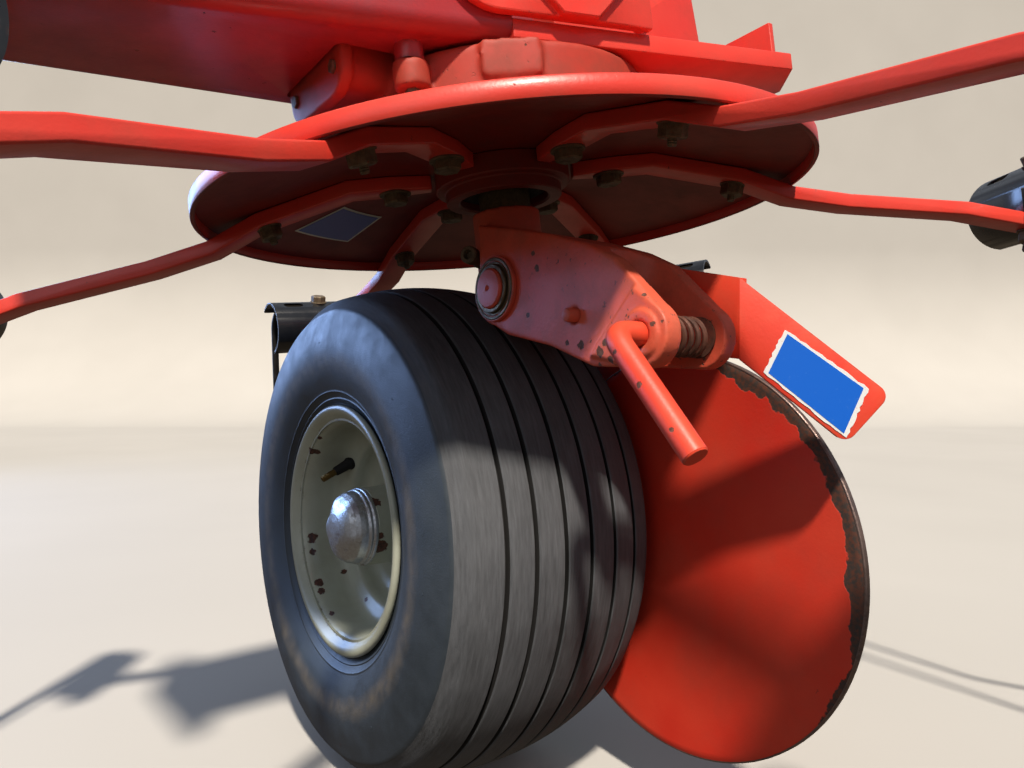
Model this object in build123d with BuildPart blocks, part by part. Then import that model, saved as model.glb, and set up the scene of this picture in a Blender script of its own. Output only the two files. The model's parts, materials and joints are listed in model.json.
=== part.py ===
"""One rotor unit of a hay tedder: a frame beam with its gear case, the six-armed
rotor under it, and the bracket, leg and support wheel under the rotor.

Millimetres. +X runs inboard along the beam, +Y is the way of travel, +Z is up.
The origin is the centre of the bolted flange at the beam's outer end. The beam and
rotor lean a little on the ground, so they are drawn on the plane "head", whose Z is
the rotor's axis and whose X runs along the beam. The bracket, leg and wheel stand
upright and are drawn about the same hub point with level axes.
"""
import os
from math import cos, hypot, radians, sin, sqrt

from build123d import *

os.makedirs("parts", exist_ok=True)

# How the unit stands
SIDE_LEAN = 4.56          # rotor axis leans outboard, degrees
FORWARD_LEAN = 4.24       # rotor axis leans forward, degrees
FLANGE_REACH = 400.0      # rotor axis to the flange face, along the beam
RUNNING_GAP = 0.08        # radial clearance of turning pieces on their shafts
SEAT_GAP = 0.3            # stand-off between pieces that seat on each other

# Beam, with heights above the hub point along the rotor axis
BEAM_FLOOR = 78.0         # underside
BEAM_HEIGHT = 100.0
BEAM_WALL = 6.0
BEAM_FRONT = 70.0         # forward wall
BEAM_REAR = -62.0         # rear wall, outboard of the flare
BEAM_EDGE = 12.0          # radius of the folded lower edges
FLARE_START = -280.0
FLARE_END = -60.0
FLARE_SLOPE = 0.2075      # the rear edge runs out by this share of its length
NOTCH_GAP = 2.5           # floor's opening round the gear case's neck
NOTCH_CORNER = 6.0

# Floor pan, inboard of the beam box
PAN_END = 238.0
PAN_LIP = 8.0
PAN_END_LIP = 50.0        # higher lip across the inboard end
PAN_CORNER = 36.0

# End flange
FLANGE_THICK = 14.0
FLANGE_BOLT_CIRCLE = 190.0
FLANGE_BOLT_EDGE = 17.0   # bolt centre from the plate's edges
FLANGE_BOLT_R = 8.5
SHAFT_OPENING_R = 34.0

# Hinge housing and side plate on top of the pan
HINGE_START = 20.0
HINGE_END = 214.0
HINGE_REAR = -66.0
HINGE_X = 168.0
HINGE_Z = 200.0
HINGE_LUG_R = 34.0
HINGE_BORE_R = 15.0
HINGE_LUG = 24.0          # width of each of the two ears
HINGE_SLOT_START = 118.0
HINGE_SLOT_FLOOR = 122.0
SIDE_PLATE_START = 173.0  # along the flare, from where it begins
SIDE_PLATE_END = 342.0
SIDE_PLATE_HIGH = 172.0
SIDE_PLATE_THICK = 8.0
SIDE_PAD_START = 232.0
SIDE_PAD_END = 318.0
SIDE_PAD_CORNER = 28.0
SIDE_PAD_THICK = 6.0

# Gear case
DRUM_R = 127.0
DRUM_TOP = 75.5
DRUM_BOTTOM = 34.0
DRUM_EDGE = 4.0
PAD_ANGLE = -121.0
PAD_WIDTH = 44.0
PAD_HEIGHT = 27.0
PAD_PROUD = 2.5
BOSS_R = 13.0
BOSS_OUT = 11.0           # bosses' centres outside the drum
BOSS_ANGLE = 28.0
BOSS_SPLIT = 66.0         # level where a beam boss meets a case boss
BOSS_BOTTOM = 46.0
NECK_HALF = 40.0
NECK_TOP = 138.0
NECK_BOTTOM = 56.0
NECK_CORNER = 14.0
NECK_START = -156.0
NECK_FLANGE_THICK = 10.0
NECK_FLANGE_MARGIN = 7.0

# Rotor
DISH_R = 254.0
DISH_SHEET = 3.6
DISH_SHOULDER_Z = -8.6    # underside of the dish where it meets the rim
DISH_RIM_BOTTOM = -18.0
DISH_BORE_R = 44.3
ARM_COUNT = 6
FIRST_ARM = -33.85        # angle of the first arm from the beam's line
ARM_WIDTH = 26.0
ARM_THICK = 12.0
ARM_TIP_WIDTH = 13.0      # inner end, beside the hub
ARM_TAPER = 34.0          # length of the tapered inner end
HUB_R = 58.0
HUB_STEP_R = 50.0
HUB_STEP_Z = 3.0
HUB_BOTTOM = -7.0
HUB_TOP = 28.6
SEAL_R = 38.0
SEAL_DEPTH = 15.0
SHAFT_R = 22.0
SHAFT_BOTTOM = -66.0      # ends above the pivot pin

# Underside of an arm's bar, from the hub out
ARM_UNDERSIDE = [
    # radius, height
    (61.0, 8.0),
    (130.0, 8.0),
    (206.0, -12.0),
    (248.0, -31.5),
    (300.0, -43.5),
    (405.0, -60.0),
    (508.0, -88.5),
]

# Spring tines
WIRE_R = 4.5
COIL_R = 23.5             # to the wire's centre line
SLEEVE_EXTRA = 0.8        # the coils' sleeves are a little thicker than the wire
COIL_LENGTH = 43.0
COIL_AT = (494.0, -49.0)  # coil centre: radius, height
TINE_KNEE = (582.0, -320.0)
TINE_TIPS = [(668.0, -436.0), (652.0, -416.0)]
TINE_BEND_R = 40.0
COVER_R = 32.0
COVER_SHEET = 3.0
COVER_LENGTH = 132.0
COVER_FROM = 50.0         # the cover's arc, degrees up from outward
COVER_TO = 262.0
COVER_WINDOW_TOP = -53.0
COVER_SLOT_ANGLE = 125.0
COVER_SLOT_SIDE = 38.0    # slots' centres from the arm's middle
COVER_SLOT_LENGTH = 26.0
COVER_SLOT_R = 5.0
CLAMP_START = 456.0       # block over the arm that holds the coils' bridge
CLAMP_END = 485.0
CLAMP_TOP = -41.0

# Bracket casting below the rotor
BRACKET_OUTER = -36.0     # outboard face
BRACKET_INNER = 30.0      # inboard face
EAR_THICK = 12.0
EAR_R = 21.5
SLOT_START = -165.0       # where the fork between the ears begins
PIVOT = (-40.0, -90.0)    # forward, up
PIVOT_R = 16.0
PIVOT_BOSS_R = 29.0
LOCK = (-198.0, -135.0)
LOCK_R = 8.0
LOCK_BOSS_R = 15.5
LOCK_BOSS_PROUD = 2.5
EAR_PAD_PROUD = 3.0       # raised flat on the outboard ear, under the boss
EAR_PAD_LINE = [(-191.0, -104.0), (-150.0, -147.0)]
ROUND_NECK_R = 29.0
ROUND_NECK_TOP = -18.0
ROUND_NECK_BOTTOM = -88.0
ROUND_NECK_EDGE = 10.0
STUB = (-132.0, -118.0)
STUB_R = 5.0
STUB_LENGTH = 9.0
HANDLE_AT = -64.0         # the lock pin's handle hangs in this upright plane
HANDLE_END = (-262.0, -206.0)
HANDLE_BEND_R = 14.0
SPRING_R = 14.5

# Outline of the casting seen from the side, without its ears and pivot boss
CASTING_SIDE = [
    # forward, up
    (-12.0, -34.0),
    (-17.0, -88.0),
    (-32.0, -117.0),
    (-53.0, -127.0),
    (-105.0, -138.0),
    (-150.0, -154.0),
    (-196.0, -156.0),
    (-213.0, -120.0),
    (-196.0, -104.5),
    (-171.0, -82.0),
    (-144.0, -69.0),
    (-105.0, -56.0),
    (-62.0, -45.0),
]

# Leg and lever
LEVER_GAP = 17.0
LEVER_THICK = 8.0
LEVER_R = 38.0
LEVER_FOLD_Y = -209.0
LEVER_FOLD_TOP = -93.0
LEVER_FOLD_BOTTOM = -149.0
LEVER_BEND = 40.0
LEVER_LENGTH = 125.0      # folded part, along its upper edge
LEVER_SLOPE = 40.0
LEVER_TIP_WIDTH = 43.0
LEVER_CORNER = 8.0
LEG_TUBE_R = 30.0
LEG_TUBE_GAP = 8.0        # past the round neck, which leans inboard
LEG_THICK = 14.0
LEG_TOP_R = 40.0
LEG_FOOT_R = 36.0
LOCK_SEAT = 5.0           # depth of the lever's blind hole for the lock pin

# Wheel
TYRE_R = 231.5
TYRE_HALF = 108.0
TREAD_HALF = 90.0
TREAD_EDGE_R = 216.0
SHOULDER_HALF = 101.0
SHOULDER_R = 205.0
BULGE_R = 166.0
BEAD_TOP_R = 117.0
BEAD_WIDTH = 13.0
SIDEWALL = 12.0
TREAD_THICK = 16.0
BEAD_SEAT_R = 101.6
RIM_FLANGE_R = 115.0
RIM_HALF = 95.5
RIM_SHEET = 3.5
RIM_WELL_R = 84.0
RIM_WELL_HALF = 48.0
WHEEL_DISC_AT = -24.0
WHEEL_DISC_THICK = 5.0
WHEEL_FORWARD = 138.0     # axle ahead of the hub point
TYRE_TOP_DROP = 69.2      # tyre's top below the hub point
AXLE_DROP = TYRE_R + TYRE_TOP_DROP
WHEEL_SIDE = 5.0          # tyre's middle plane inboard of the hub point
AXLE_R = 17.0
AXLE_COLLAR_R = 26.0
WHEEL_HUB_R = 40.0
WHEEL_HUB_OUTER = -62.0
WHEEL_HUB_INNER = 60.0
WHEEL_HUB_FLANGE_R = 66.0
HUB_FLANGE_THICK = 9.0
COLLAR_GAP = 5.0          # wheel hub's inner end to the axle's collar
CAP_R = 34.0
CAP_LENGTH = 38.0
TYRE_TO_GUARD = 5.2
GUARD_SHEET = 5.0
GUARD_R = 171.0
GUARD_BEHIND = 227.0      # guard's centre behind the axle
GUARD_BELOW = 9.0
AXLE_END = 6.0            # axle stands proud of the leg's foot
PIVOT_CLIP_R = 20.0
PIVOT_CLIP_THICK = 2.5
PIVOT_WASHER_R = 26.0
PIVOT_WASHER_THICK = 4.0
PIVOT_HEAD_R = 25.0
PIVOT_HEAD_THICK = 7.0
PIVOT_HEAD_GAP = 1.0
CAP_SHEET = 2.5
CAP_ROUND = 16.0

# Places worked out from the sizes above
axis_x = -sin(radians(SIDE_LEAN))
axis_y = sin(radians(FORWARD_LEAN))
axis_z = sqrt(1 - axis_x**2 - axis_y**2)
rotor_axis = Vector(axis_x, axis_y, axis_z)
beam_x = Vector(1 - axis_x**2, -axis_x * axis_y, -axis_x * axis_z).normalized()
mount_axes = Plane(origin=(0, 0, 0), x_dir=beam_x, z_dir=rotor_axis)
beam_mid_y = (BEAM_FRONT + BEAM_REAR) / 2
beam_mid_z = BEAM_FLOOR + BEAM_HEIGHT / 2
hub = mount_axes.from_local_coords(Vector(FLANGE_REACH, -beam_mid_y, -beam_mid_z))
head = Plane(origin=hub, x_dir=beam_x, z_dir=rotor_axis)


def on_head(height):
    """A plane square to the rotor axis, at a height above the hub point."""
    return head.offset(height)


def head_section(angle, side=0.0):
    """A plane beside the rotor axis: local X is radius, local Y is height."""
    out = head.from_local_coords(Vector(cos(radians(angle)), sin(radians(angle)), 0)) - hub
    beside = rotor_axis.cross(out)
    return Plane(origin=hub + beside * side, x_dir=out, z_dir=-beside)


def across_beam(at):
    """A plane square to the beam: local X is forward, local Y is height."""
    return Plane(origin=hub + head.x_dir * at, x_dir=head.y_dir, z_dir=head.x_dir)


def along_beam(at):
    """A plane along the beam: local X is inboard, local Y is height."""
    return Plane(origin=hub + head.y_dir * at, x_dir=head.x_dir, z_dir=-head.y_dir)


def level_side(at):
    """An upright plane square to the axle: local X is forward, local Y is up."""
    return Plane(origin=hub + Vector(at, 0, 0), x_dir=(0, 1, 0), z_dir=(1, 0, 0))


def save(builder, name):
    """Labels a finished piece and writes its STEP file."""
    builder.part.label = name
    export_step(builder.part, f"parts/{name}.step")


# Beam box
boss_ring_r = DRUM_R + BOSS_OUT
beam_boss_r = BOSS_OUT - 2 * SEAT_GAP
boss_x = boss_ring_r * cos(radians(BOSS_ANGLE))
boss_y = boss_ring_r * sin(radians(BOSS_ANGLE))
outboard_bosses = [(-boss_x, -boss_y), (-boss_x, boss_y)]
inboard_bosses = [(boss_x, -boss_y), (boss_x, boss_y)]
beam_start = -FLANGE_REACH + FLANGE_THICK
flange_half = NECK_HALF + NECK_FLANGE_MARGIN
notch_start = NECK_START - NECK_FLANGE_THICK - NOTCH_GAP
notch_half = flange_half + NOTCH_GAP


def rear_edge(x):
    """Rear edge of the flared beam, at a place along it."""
    return BEAM_REAR - FLARE_SLOPE * (x - FLARE_START)


def beam_plan(inset):
    """Plan of the beam box with its walls inset; the outer end stays open."""
    return [
        (beam_start, BEAM_FRONT - inset),
        (-inset, BEAM_FRONT - inset),
        (-inset, BEAM_REAR + inset),
        (FLARE_END - inset, BEAM_REAR + inset),
        (FLARE_END - inset, rear_edge(FLARE_END) + inset),
        (FLARE_START, BEAM_REAR + inset),
        (beam_start, BEAM_REAR + inset),
    ]


def is_low_outer_edge(edge):
    """Whether an edge runs along the foot of the front or rear wall."""
    middle = head.to_local_coords(edge @ 0.5)
    lies_low = middle.Z < BEAM_FLOOR + SEAT_GAP
    return lies_low and (middle.Y > BEAM_FRONT - 1 or middle.Y < BEAM_REAR + 1)


with BuildPart() as beam:
    with BuildSketch(on_head(BEAM_FLOOR)):
        with BuildLine():
            Polyline(*beam_plan(0.0), close=True)
        make_face()
    extrude(amount=BEAM_HEIGHT)
    fillet(beam.edges().filter_by(is_low_outer_edge).sort_by(Edge.length)[-3:], radius=BEAM_EDGE)
    with BuildSketch(on_head(BEAM_FLOOR + BEAM_WALL)):
        with BuildLine():
            Polyline(*beam_plan(BEAM_WALL), close=True)
        make_face()
    extrude(amount=BEAM_HEIGHT - 2 * BEAM_WALL, mode=Mode.SUBTRACT)
    with BuildSketch(on_head(BEAM_FLOOR)):
        with Locations((notch_start / 2, 0)):
            RectangleRounded(-notch_start, 2 * notch_half, NOTCH_CORNER)
    extrude(amount=BEAM_WALL, mode=Mode.SUBTRACT)
    with BuildSketch(on_head(BOSS_SPLIT)):
        with Locations(*outboard_bosses):
            Circle(beam_boss_r)
    extrude(amount=BEAM_FLOOR + BEAM_WALL / 2 - BOSS_SPLIT)
save(beam, "beam")

# End flange: its outer face is the mount
bolt_step = FLANGE_BOLT_CIRCLE / sqrt(2)
flange_side = bolt_step + 2 * FLANGE_BOLT_EDGE

with BuildPart() as beam_flange:
    with BuildSketch(across_beam(-FLANGE_REACH)):
        with Locations((beam_mid_y, beam_mid_z)):
            RectangleRounded(flange_side, flange_side, FLANGE_BOLT_EDGE)
            Circle(SHAFT_OPENING_R, mode=Mode.SUBTRACT)
            with GridLocations(bolt_step, bolt_step, 2, 2):
                Circle(FLANGE_BOLT_R, mode=Mode.SUBTRACT)
    extrude(amount=FLANGE_THICK - SEAT_GAP)
save(beam_flange, "beam_flange")


# Floor pan: flared inboard half with a low lip
def pan_plan(inset):
    """Plan of the floor pan; the inset draws in its rear and inboard edges."""
    corner_x = PAN_END - PAN_CORNER
    return [
        (FLARE_END + SEAT_GAP, rear_edge(FLARE_END) + inset),
        (corner_x, rear_edge(corner_x) + inset),
        (PAN_END - inset, rear_edge(corner_x) + PAN_CORNER),
        (PAN_END - inset, BEAM_FRONT),
        (SEAT_GAP, BEAM_FRONT),
        (SEAT_GAP, BEAM_REAR - SEAT_GAP),
        (FLARE_END + SEAT_GAP, BEAM_REAR - SEAT_GAP),
    ]


pan_corner_y = rear_edge(PAN_END - PAN_CORNER) + PAN_CORNER
side_lip_top = BEAM_FLOOR + BEAM_WALL + PAN_LIP

with BuildPart() as floor_pan:
    with BuildSketch(on_head(BEAM_FLOOR)):
        with BuildLine():
            Polyline(*pan_plan(0.0), close=True)
        make_face()
    extrude(amount=BEAM_WALL + PAN_LIP)
    with BuildSketch(on_head(BEAM_FLOOR + BEAM_WALL)):
        with BuildLine():
            Polyline(*pan_plan(BEAM_WALL), close=True)
        make_face()
    extrude(amount=PAN_LIP, mode=Mode.SUBTRACT)
    with BuildSketch(across_beam(PAN_END - BEAM_WALL)):
        with BuildLine():
            Polyline(
                (pan_corner_y, BEAM_FLOOR),
                (BEAM_FRONT, BEAM_FLOOR),
                (BEAM_FRONT, side_lip_top),
                (pan_corner_y + PAN_END_LIP, side_lip_top + PAN_END_LIP),
                (pan_corner_y, side_lip_top + PAN_END_LIP),
                close=True,
            )
        make_face()
    extrude(amount=BEAM_WALL)
    with BuildSketch(on_head(BOSS_SPLIT)):
        with Locations(*inboard_bosses):
            Circle(beam_boss_r)
    extrude(amount=BEAM_FLOOR + BEAM_WALL / 2 - BOSS_SPLIT)
save(floor_pan, "floor_pan")

# Hinge housing on the pan, with two ears for the next frame section's pin
pan_floor = BEAM_FLOOR + BEAM_WALL
hinge_width = BEAM_FRONT - HINGE_REAR

with BuildPart() as hinge_housing:
    with BuildSketch(along_beam(HINGE_REAR)):
        with BuildLine():
            Polyline(
                (HINGE_START, pan_floor + SEAT_GAP),
                (HINGE_END, pan_floor + SEAT_GAP),
                (HINGE_X + HINGE_LUG_R, HINGE_Z),
                (HINGE_X, HINGE_Z + HINGE_LUG_R),
                (HINGE_START, BEAM_FLOOR + BEAM_HEIGHT),
                close=True,
            )
        make_face()
        with Locations((HINGE_X, HINGE_Z)):
            Circle(HINGE_LUG_R)
            Circle(HINGE_BORE_R, mode=Mode.SUBTRACT)
    extrude(amount=-hinge_width)
    with BuildSketch(along_beam(HINGE_REAR + HINGE_LUG)):
        with BuildLine():
            Polyline(
                (HINGE_SLOT_START, HINGE_SLOT_FLOOR),
                (HINGE_END + HINGE_LUG_R, HINGE_SLOT_FLOOR),
                (HINGE_END + HINGE_LUG_R, HINGE_Z + 2 * HINGE_LUG_R),
                (HINGE_SLOT_START, HINGE_Z + 2 * HINGE_LUG_R),
                close=True,
            )
        make_face()
    extrude(amount=-(hinge_width - 2 * HINGE_LUG), mode=Mode.SUBTRACT)
save(hinge_housing, "hinge_housing")

# Side plate on the flared wall and over the pan's lip, round at its outer end,
# with an eight-sided pad on its inboard end
flare_x = (head.x_dir - head.y_dir * FLARE_SLOPE).normalized()
flare_origin = head.from_local_coords(Vector(FLARE_START, BEAM_REAR, 0))
flare_side = Plane(origin=flare_origin, x_dir=flare_x, z_dir=flare_x.cross(rotor_axis))
side_plate_low = BEAM_FLOOR + BEAM_WALL + PAN_LIP + SEAT_GAP
side_plate_mid = (side_plate_low + SIDE_PLATE_HIGH) / 2
side_plate_half = (SIDE_PLATE_HIGH - side_plate_low) / 2
side_round = SIDE_PLATE_START + side_plate_half

with BuildPart() as side_plate:
    with BuildSketch(flare_side.offset(SEAT_GAP)):
        with Locations((side_round, side_plate_mid)):
            Circle(side_plate_half)
        with Locations(((side_round + SIDE_PLATE_END) / 2, side_plate_mid)):
            Rectangle(SIDE_PLATE_END - side_round, 2 * side_plate_half)
    extrude(amount=SIDE_PLATE_THICK)
    with BuildSketch(flare_side.offset(SEAT_GAP + SIDE_PLATE_THICK)):
        with Locations(((SIDE_PAD_START + SIDE_PAD_END) / 2, side_plate_mid)):
            Rectangle(SIDE_PAD_END - SIDE_PAD_START, 2 * side_plate_half)
            chamfer(vertices(), SIDE_PAD_CORNER)
    extrude(amount=SIDE_PAD_THICK)
save(side_plate, "side_plate")

# Gear case: drum over the rotor, neck up into the beam, pad and four bosses
neck_mid = (NECK_TOP + NECK_BOTTOM) / 2
neck_height = NECK_TOP - NECK_BOTTOM

with BuildPart() as gear_case:
    with BuildSketch(on_head(DRUM_BOTTOM)):
        Circle(DRUM_R)
    extrude(amount=DRUM_TOP - DRUM_BOTTOM)
    fillet(gear_case.edges(), radius=DRUM_EDGE)
    with BuildSketch(across_beam(NECK_START)):
        with Locations((0, neck_mid)):
            RectangleRounded(2 * NECK_HALF, neck_height, NECK_CORNER)
    extrude(amount=-NECK_START - BOSS_R)
    with BuildSketch(across_beam(NECK_START - NECK_FLANGE_THICK)):
        with Locations((0, neck_mid)):
            RectangleRounded(
                2 * flange_half,
                neck_height + 2 * NECK_FLANGE_MARGIN,
                NECK_CORNER + NECK_FLANGE_MARGIN,
            )
    extrude(amount=NECK_FLANGE_THICK)
    with BuildSketch(on_head(BOSS_BOTTOM)):
        with Locations(*outboard_bosses, *inboard_bosses):
            Circle(BOSS_R)
    extrude(amount=BOSS_SPLIT - SEAT_GAP - BOSS_BOTTOM)
    pad_out = head_section(PAD_ANGLE).x_dir
    pad_foot = hub + pad_out * (DRUM_R - PAD_WIDTH / 4)
    pad_plane = Plane(origin=pad_foot, x_dir=rotor_axis.cross(pad_out), z_dir=pad_out)
    with BuildSketch(pad_plane):
        with Locations((0, DRUM_TOP - PAD_HEIGHT / 2)):
            RectangleRounded(PAD_WIDTH, PAD_HEIGHT, DRUM_EDGE)
    extrude(amount=PAD_WIDTH / 4 + PAD_PROUD)
save(gear_case, "gear_case")

# Fixed centre shaft, from the gear case down into the bracket
with BuildPart() as centre_shaft:
    with BuildSketch(on_head(SHAFT_BOTTOM)):
        Circle(SHAFT_R)
    extrude(amount=DRUM_BOTTOM - SEAT_GAP - SHAFT_BOTTOM)
save(centre_shaft, "centre_shaft")

# Rotor hub, stepped, with a dark recess for the shaft seal
with BuildPart() as rotor_hub:
    with BuildSketch(head_section(0)):
        with BuildLine():
            Polyline(
                (SHAFT_R + RUNNING_GAP, HUB_TOP),
                (DISH_BORE_R - SEAT_GAP, HUB_TOP),
                (DISH_BORE_R - SEAT_GAP, ARM_UNDERSIDE[0][1] + ARM_THICK),
                (HUB_R, ARM_UNDERSIDE[0][1] + ARM_THICK),
                (HUB_R, HUB_STEP_Z),
                (HUB_STEP_R, HUB_STEP_Z - 1.0),
                (HUB_STEP_R, HUB_BOTTOM),
                (SEAL_R, HUB_BOTTOM),
                (SEAL_R, HUB_BOTTOM + SEAL_DEPTH),
                (SHAFT_R + RUNNING_GAP, HUB_BOTTOM + SEAL_DEPTH),
                close=True,
            )
        make_face()
    revolve(axis=Axis(hub, rotor_axis))
save(rotor_hub, "rotor_hub")


# Arms: bent flat bars under the dish
def even_strip(points, thick):
    """The other side of a bent strip of even thickness, on the left of its points."""
    normals = []
    for (r0, z0), (r1, z1) in zip(points, points[1:]):
        run = hypot(r1 - r0, z1 - z0)
        normals.append(((z0 - z1) / run, (r1 - r0) / run))
    normals = [normals[0]] + normals + [normals[-1]]
    top = []
    for (r, z), (a0, b0), (a1, b1) in zip(points, normals, normals[1:]):
        share = thick / (1 + a0 * a1 + b0 * b1)
        top.append((r + (a0 + a1) * share, z + (b0 + b1) * share))
    return top


arm_top = even_strip(ARM_UNDERSIDE, ARM_THICK)
arm_start = ARM_UNDERSIDE[0][0]
arm_end = ARM_UNDERSIDE[-1][0]


def save_turned(builder, name):
    """Saves one copy of a piece for each arm, turned about the rotor axis."""
    for number in range(ARM_COUNT):
        turned = builder.part.rotate(Axis(hub, rotor_axis), number * 360 / ARM_COUNT)
        turned.label = f"{name}_{number + 1}"
        export_step(turned, f"parts/{turned.label}.step")


arm_half = ARM_WIDTH / 2
arm_side = head_section(FIRST_ARM, arm_half)
arm_level_at = hub + rotor_axis * (2 * ARM_UNDERSIDE[-1][1])
arm_level = Plane(origin=arm_level_at, x_dir=arm_side.x_dir, z_dir=rotor_axis)

with BuildPart() as arm:
    with BuildSketch(arm_side):
        with BuildLine():
            Polyline(*ARM_UNDERSIDE, *reversed(arm_top), close=True)
        make_face()
    extrude(amount=ARM_WIDTH)
    with BuildSketch(arm_level):
        with BuildLine():
            Polyline(
                (arm_start, -ARM_TIP_WIDTH / 2),
                (arm_start + ARM_TAPER, -arm_half),
                (arm_end + arm_half, -arm_half),
                (arm_end + arm_half, arm_half),
                (arm_start + ARM_TAPER, arm_half),
                (arm_start, ARM_TIP_WIDTH / 2),
                close=True,
            )
        make_face()
    extrude(amount=-3 * ARM_UNDERSIDE[-1][1], mode=Mode.INTERSECT)
save_turned(arm, "arm")

# Dish: flat centre, shallow cone along the arms, turned-down rim
dish_inner_z = ARM_UNDERSIDE[0][1] + ARM_THICK + SEAT_GAP
(flat_r, _), (cone_r, cone_z) = arm_top[1], arm_top[2]
cone_z = cone_z + SEAT_GAP * 2

with BuildPart() as rotor_dish:
    with BuildSketch(head_section(0)):
        with BuildLine():
            Polyline(
                (DISH_BORE_R, dish_inner_z),
                (flat_r, dish_inner_z),
                (cone_r, cone_z),
                (DISH_R - DISH_SHEET, DISH_SHOULDER_Z),
                (DISH_R - DISH_SHEET, DISH_RIM_BOTTOM),
                (DISH_R, DISH_RIM_BOTTOM),
                (DISH_R, DISH_SHOULDER_Z + DISH_SHEET),
                (cone_r, cone_z + DISH_SHEET),
                (flat_r, dish_inner_z + DISH_SHEET),
                (DISH_BORE_R, dish_inner_z + DISH_SHEET),
                close=True,
            )
        make_face()
    revolve(axis=Axis(hub, rotor_axis))
save(rotor_dish, "rotor_dish")


# Spring tines: two coils joined by a bridge, each with a long bent leg. The coils
# are plain sleeves of the coil's size.
coil_r, coil_z = COIL_AT
coil_inner_side = arm_half + WIRE_R / 2
coil_outer_side = coil_inner_side + COIL_LENGTH
bridge_r = coil_r - COIL_R
bridge_half = coil_inner_side + WIRE_R
leg_side = coil_outer_side - WIRE_R - SLEEVE_EXTRA

with BuildPart() as tine:
    for side in (coil_outer_side, -coil_inner_side):
        with BuildSketch(head_section(FIRST_ARM, side)):
            with Locations(COIL_AT):
                Circle(COIL_R + WIRE_R + SLEEVE_EXTRA)
                Circle(COIL_R - WIRE_R - SLEEVE_EXTRA, mode=Mode.SUBTRACT)
        extrude(amount=COIL_LENGTH)
    with BuildSketch(head_section(FIRST_ARM, bridge_half)):
        with Locations((bridge_r, coil_z)):
            Circle(WIRE_R)
    extrude(amount=2 * bridge_half)
    for side, tip in zip((1, -1), TINE_TIPS):
        with BuildLine(head_section(FIRST_ARM, side * leg_side)) as route:
            FilletPolyline((coil_r + COIL_R, coil_z), TINE_KNEE, tip, radius=TINE_BEND_R)
        with BuildSketch(Plane(origin=route.line @ 0, z_dir=route.line % 0)):
            Circle(WIRE_R)
        sweep(path=route.line)
save_turned(tine, "tine")

# A bent cover round each tine's coils, with the block that clamps the bridge
(slope_r0, slope_z0), (slope_r1, slope_z1) = arm_top[-2:]


def arm_top_at(radius):
    """Height of an arm's upper face on its last straight run."""
    return slope_z0 + (radius - slope_r0) * (slope_z1 - slope_z0) / (slope_r1 - slope_r0)


def cover_point(radius, angle):
    """A point round the coil's centre: radius in millimetres, angle in degrees."""
    return (coil_r + radius * cos(radians(angle)), coil_z + radius * sin(radians(angle)))


cover_outer = COVER_R + COVER_SHEET
cover_sweep = COVER_TO - COVER_FROM
coil_plane = head_section(FIRST_ARM)
coil_centre = coil_plane.from_local_coords(Vector(*COIL_AT))
slot_point = coil_plane.from_local_coords(Vector(*cover_point(cover_outer, COVER_SLOT_ANGLE)))
slot_plane = Plane(origin=coil_centre, x_dir=coil_plane.z_dir, z_dir=slot_point - coil_centre)

with BuildPart() as tine_cover:
    with BuildSketch(head_section(FIRST_ARM, COVER_LENGTH / 2)):
        with BuildLine():
            CenterArc(COIL_AT, COVER_R, COVER_FROM, cover_sweep)
            CenterArc(COIL_AT, cover_outer, COVER_FROM, cover_sweep)
            Line(cover_point(COVER_R, COVER_FROM), cover_point(cover_outer, COVER_FROM))
            Line(cover_point(COVER_R, COVER_TO), cover_point(cover_outer, COVER_TO))
        make_face()
    extrude(amount=COVER_LENGTH)
    with BuildSketch(head_section(FIRST_ARM, coil_inner_side)):
        with Locations((coil_r - cover_outer, COVER_WINDOW_TOP - cover_outer)):
            Rectangle(2 * cover_outer, 2 * cover_outer)
    extrude(amount=2 * coil_inner_side, mode=Mode.SUBTRACT)
    with BuildSketch(slot_plane):
        with Locations((COVER_SLOT_SIDE, 0), (-COVER_SLOT_SIDE, 0)):
            SlotOverall(COVER_SLOT_LENGTH, 2 * COVER_SLOT_R)
    extrude(amount=2 * cover_outer, mode=Mode.SUBTRACT)
    with BuildSketch(head_section(FIRST_ARM, arm_half)):
        with BuildLine():
            Polyline(
                (CLAMP_START, arm_top_at(CLAMP_START) + SEAT_GAP),
                (CLAMP_END, arm_top_at(CLAMP_END) + SEAT_GAP),
                (CLAMP_END, CLAMP_TOP),
                (CLAMP_START, CLAMP_TOP),
                close=True,
            )
        make_face()
        with Locations((bridge_r, coil_z)):
            Circle(WIRE_R + SEAT_GAP, mode=Mode.SUBTRACT)
    extrude(amount=ARM_WIDTH)
save_turned(tine_cover, "tine_cover")

# Bracket: a fork-ended casting round the foot of the centre shaft
casting_width = BRACKET_INNER - BRACKET_OUTER
slot_width = casting_width - 2 * EAR_THICK
slot_mid = (BRACKET_OUTER + BRACKET_INNER) / 2
slot_end = LOCK[0] - 2 * EAR_R
slot_foot = LOCK[1] - 2 * EAR_R
ear_pad_outer = BRACKET_OUTER - EAR_PAD_PROUD
lock_boss_outer = ear_pad_outer - LOCK_BOSS_PROUD

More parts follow.
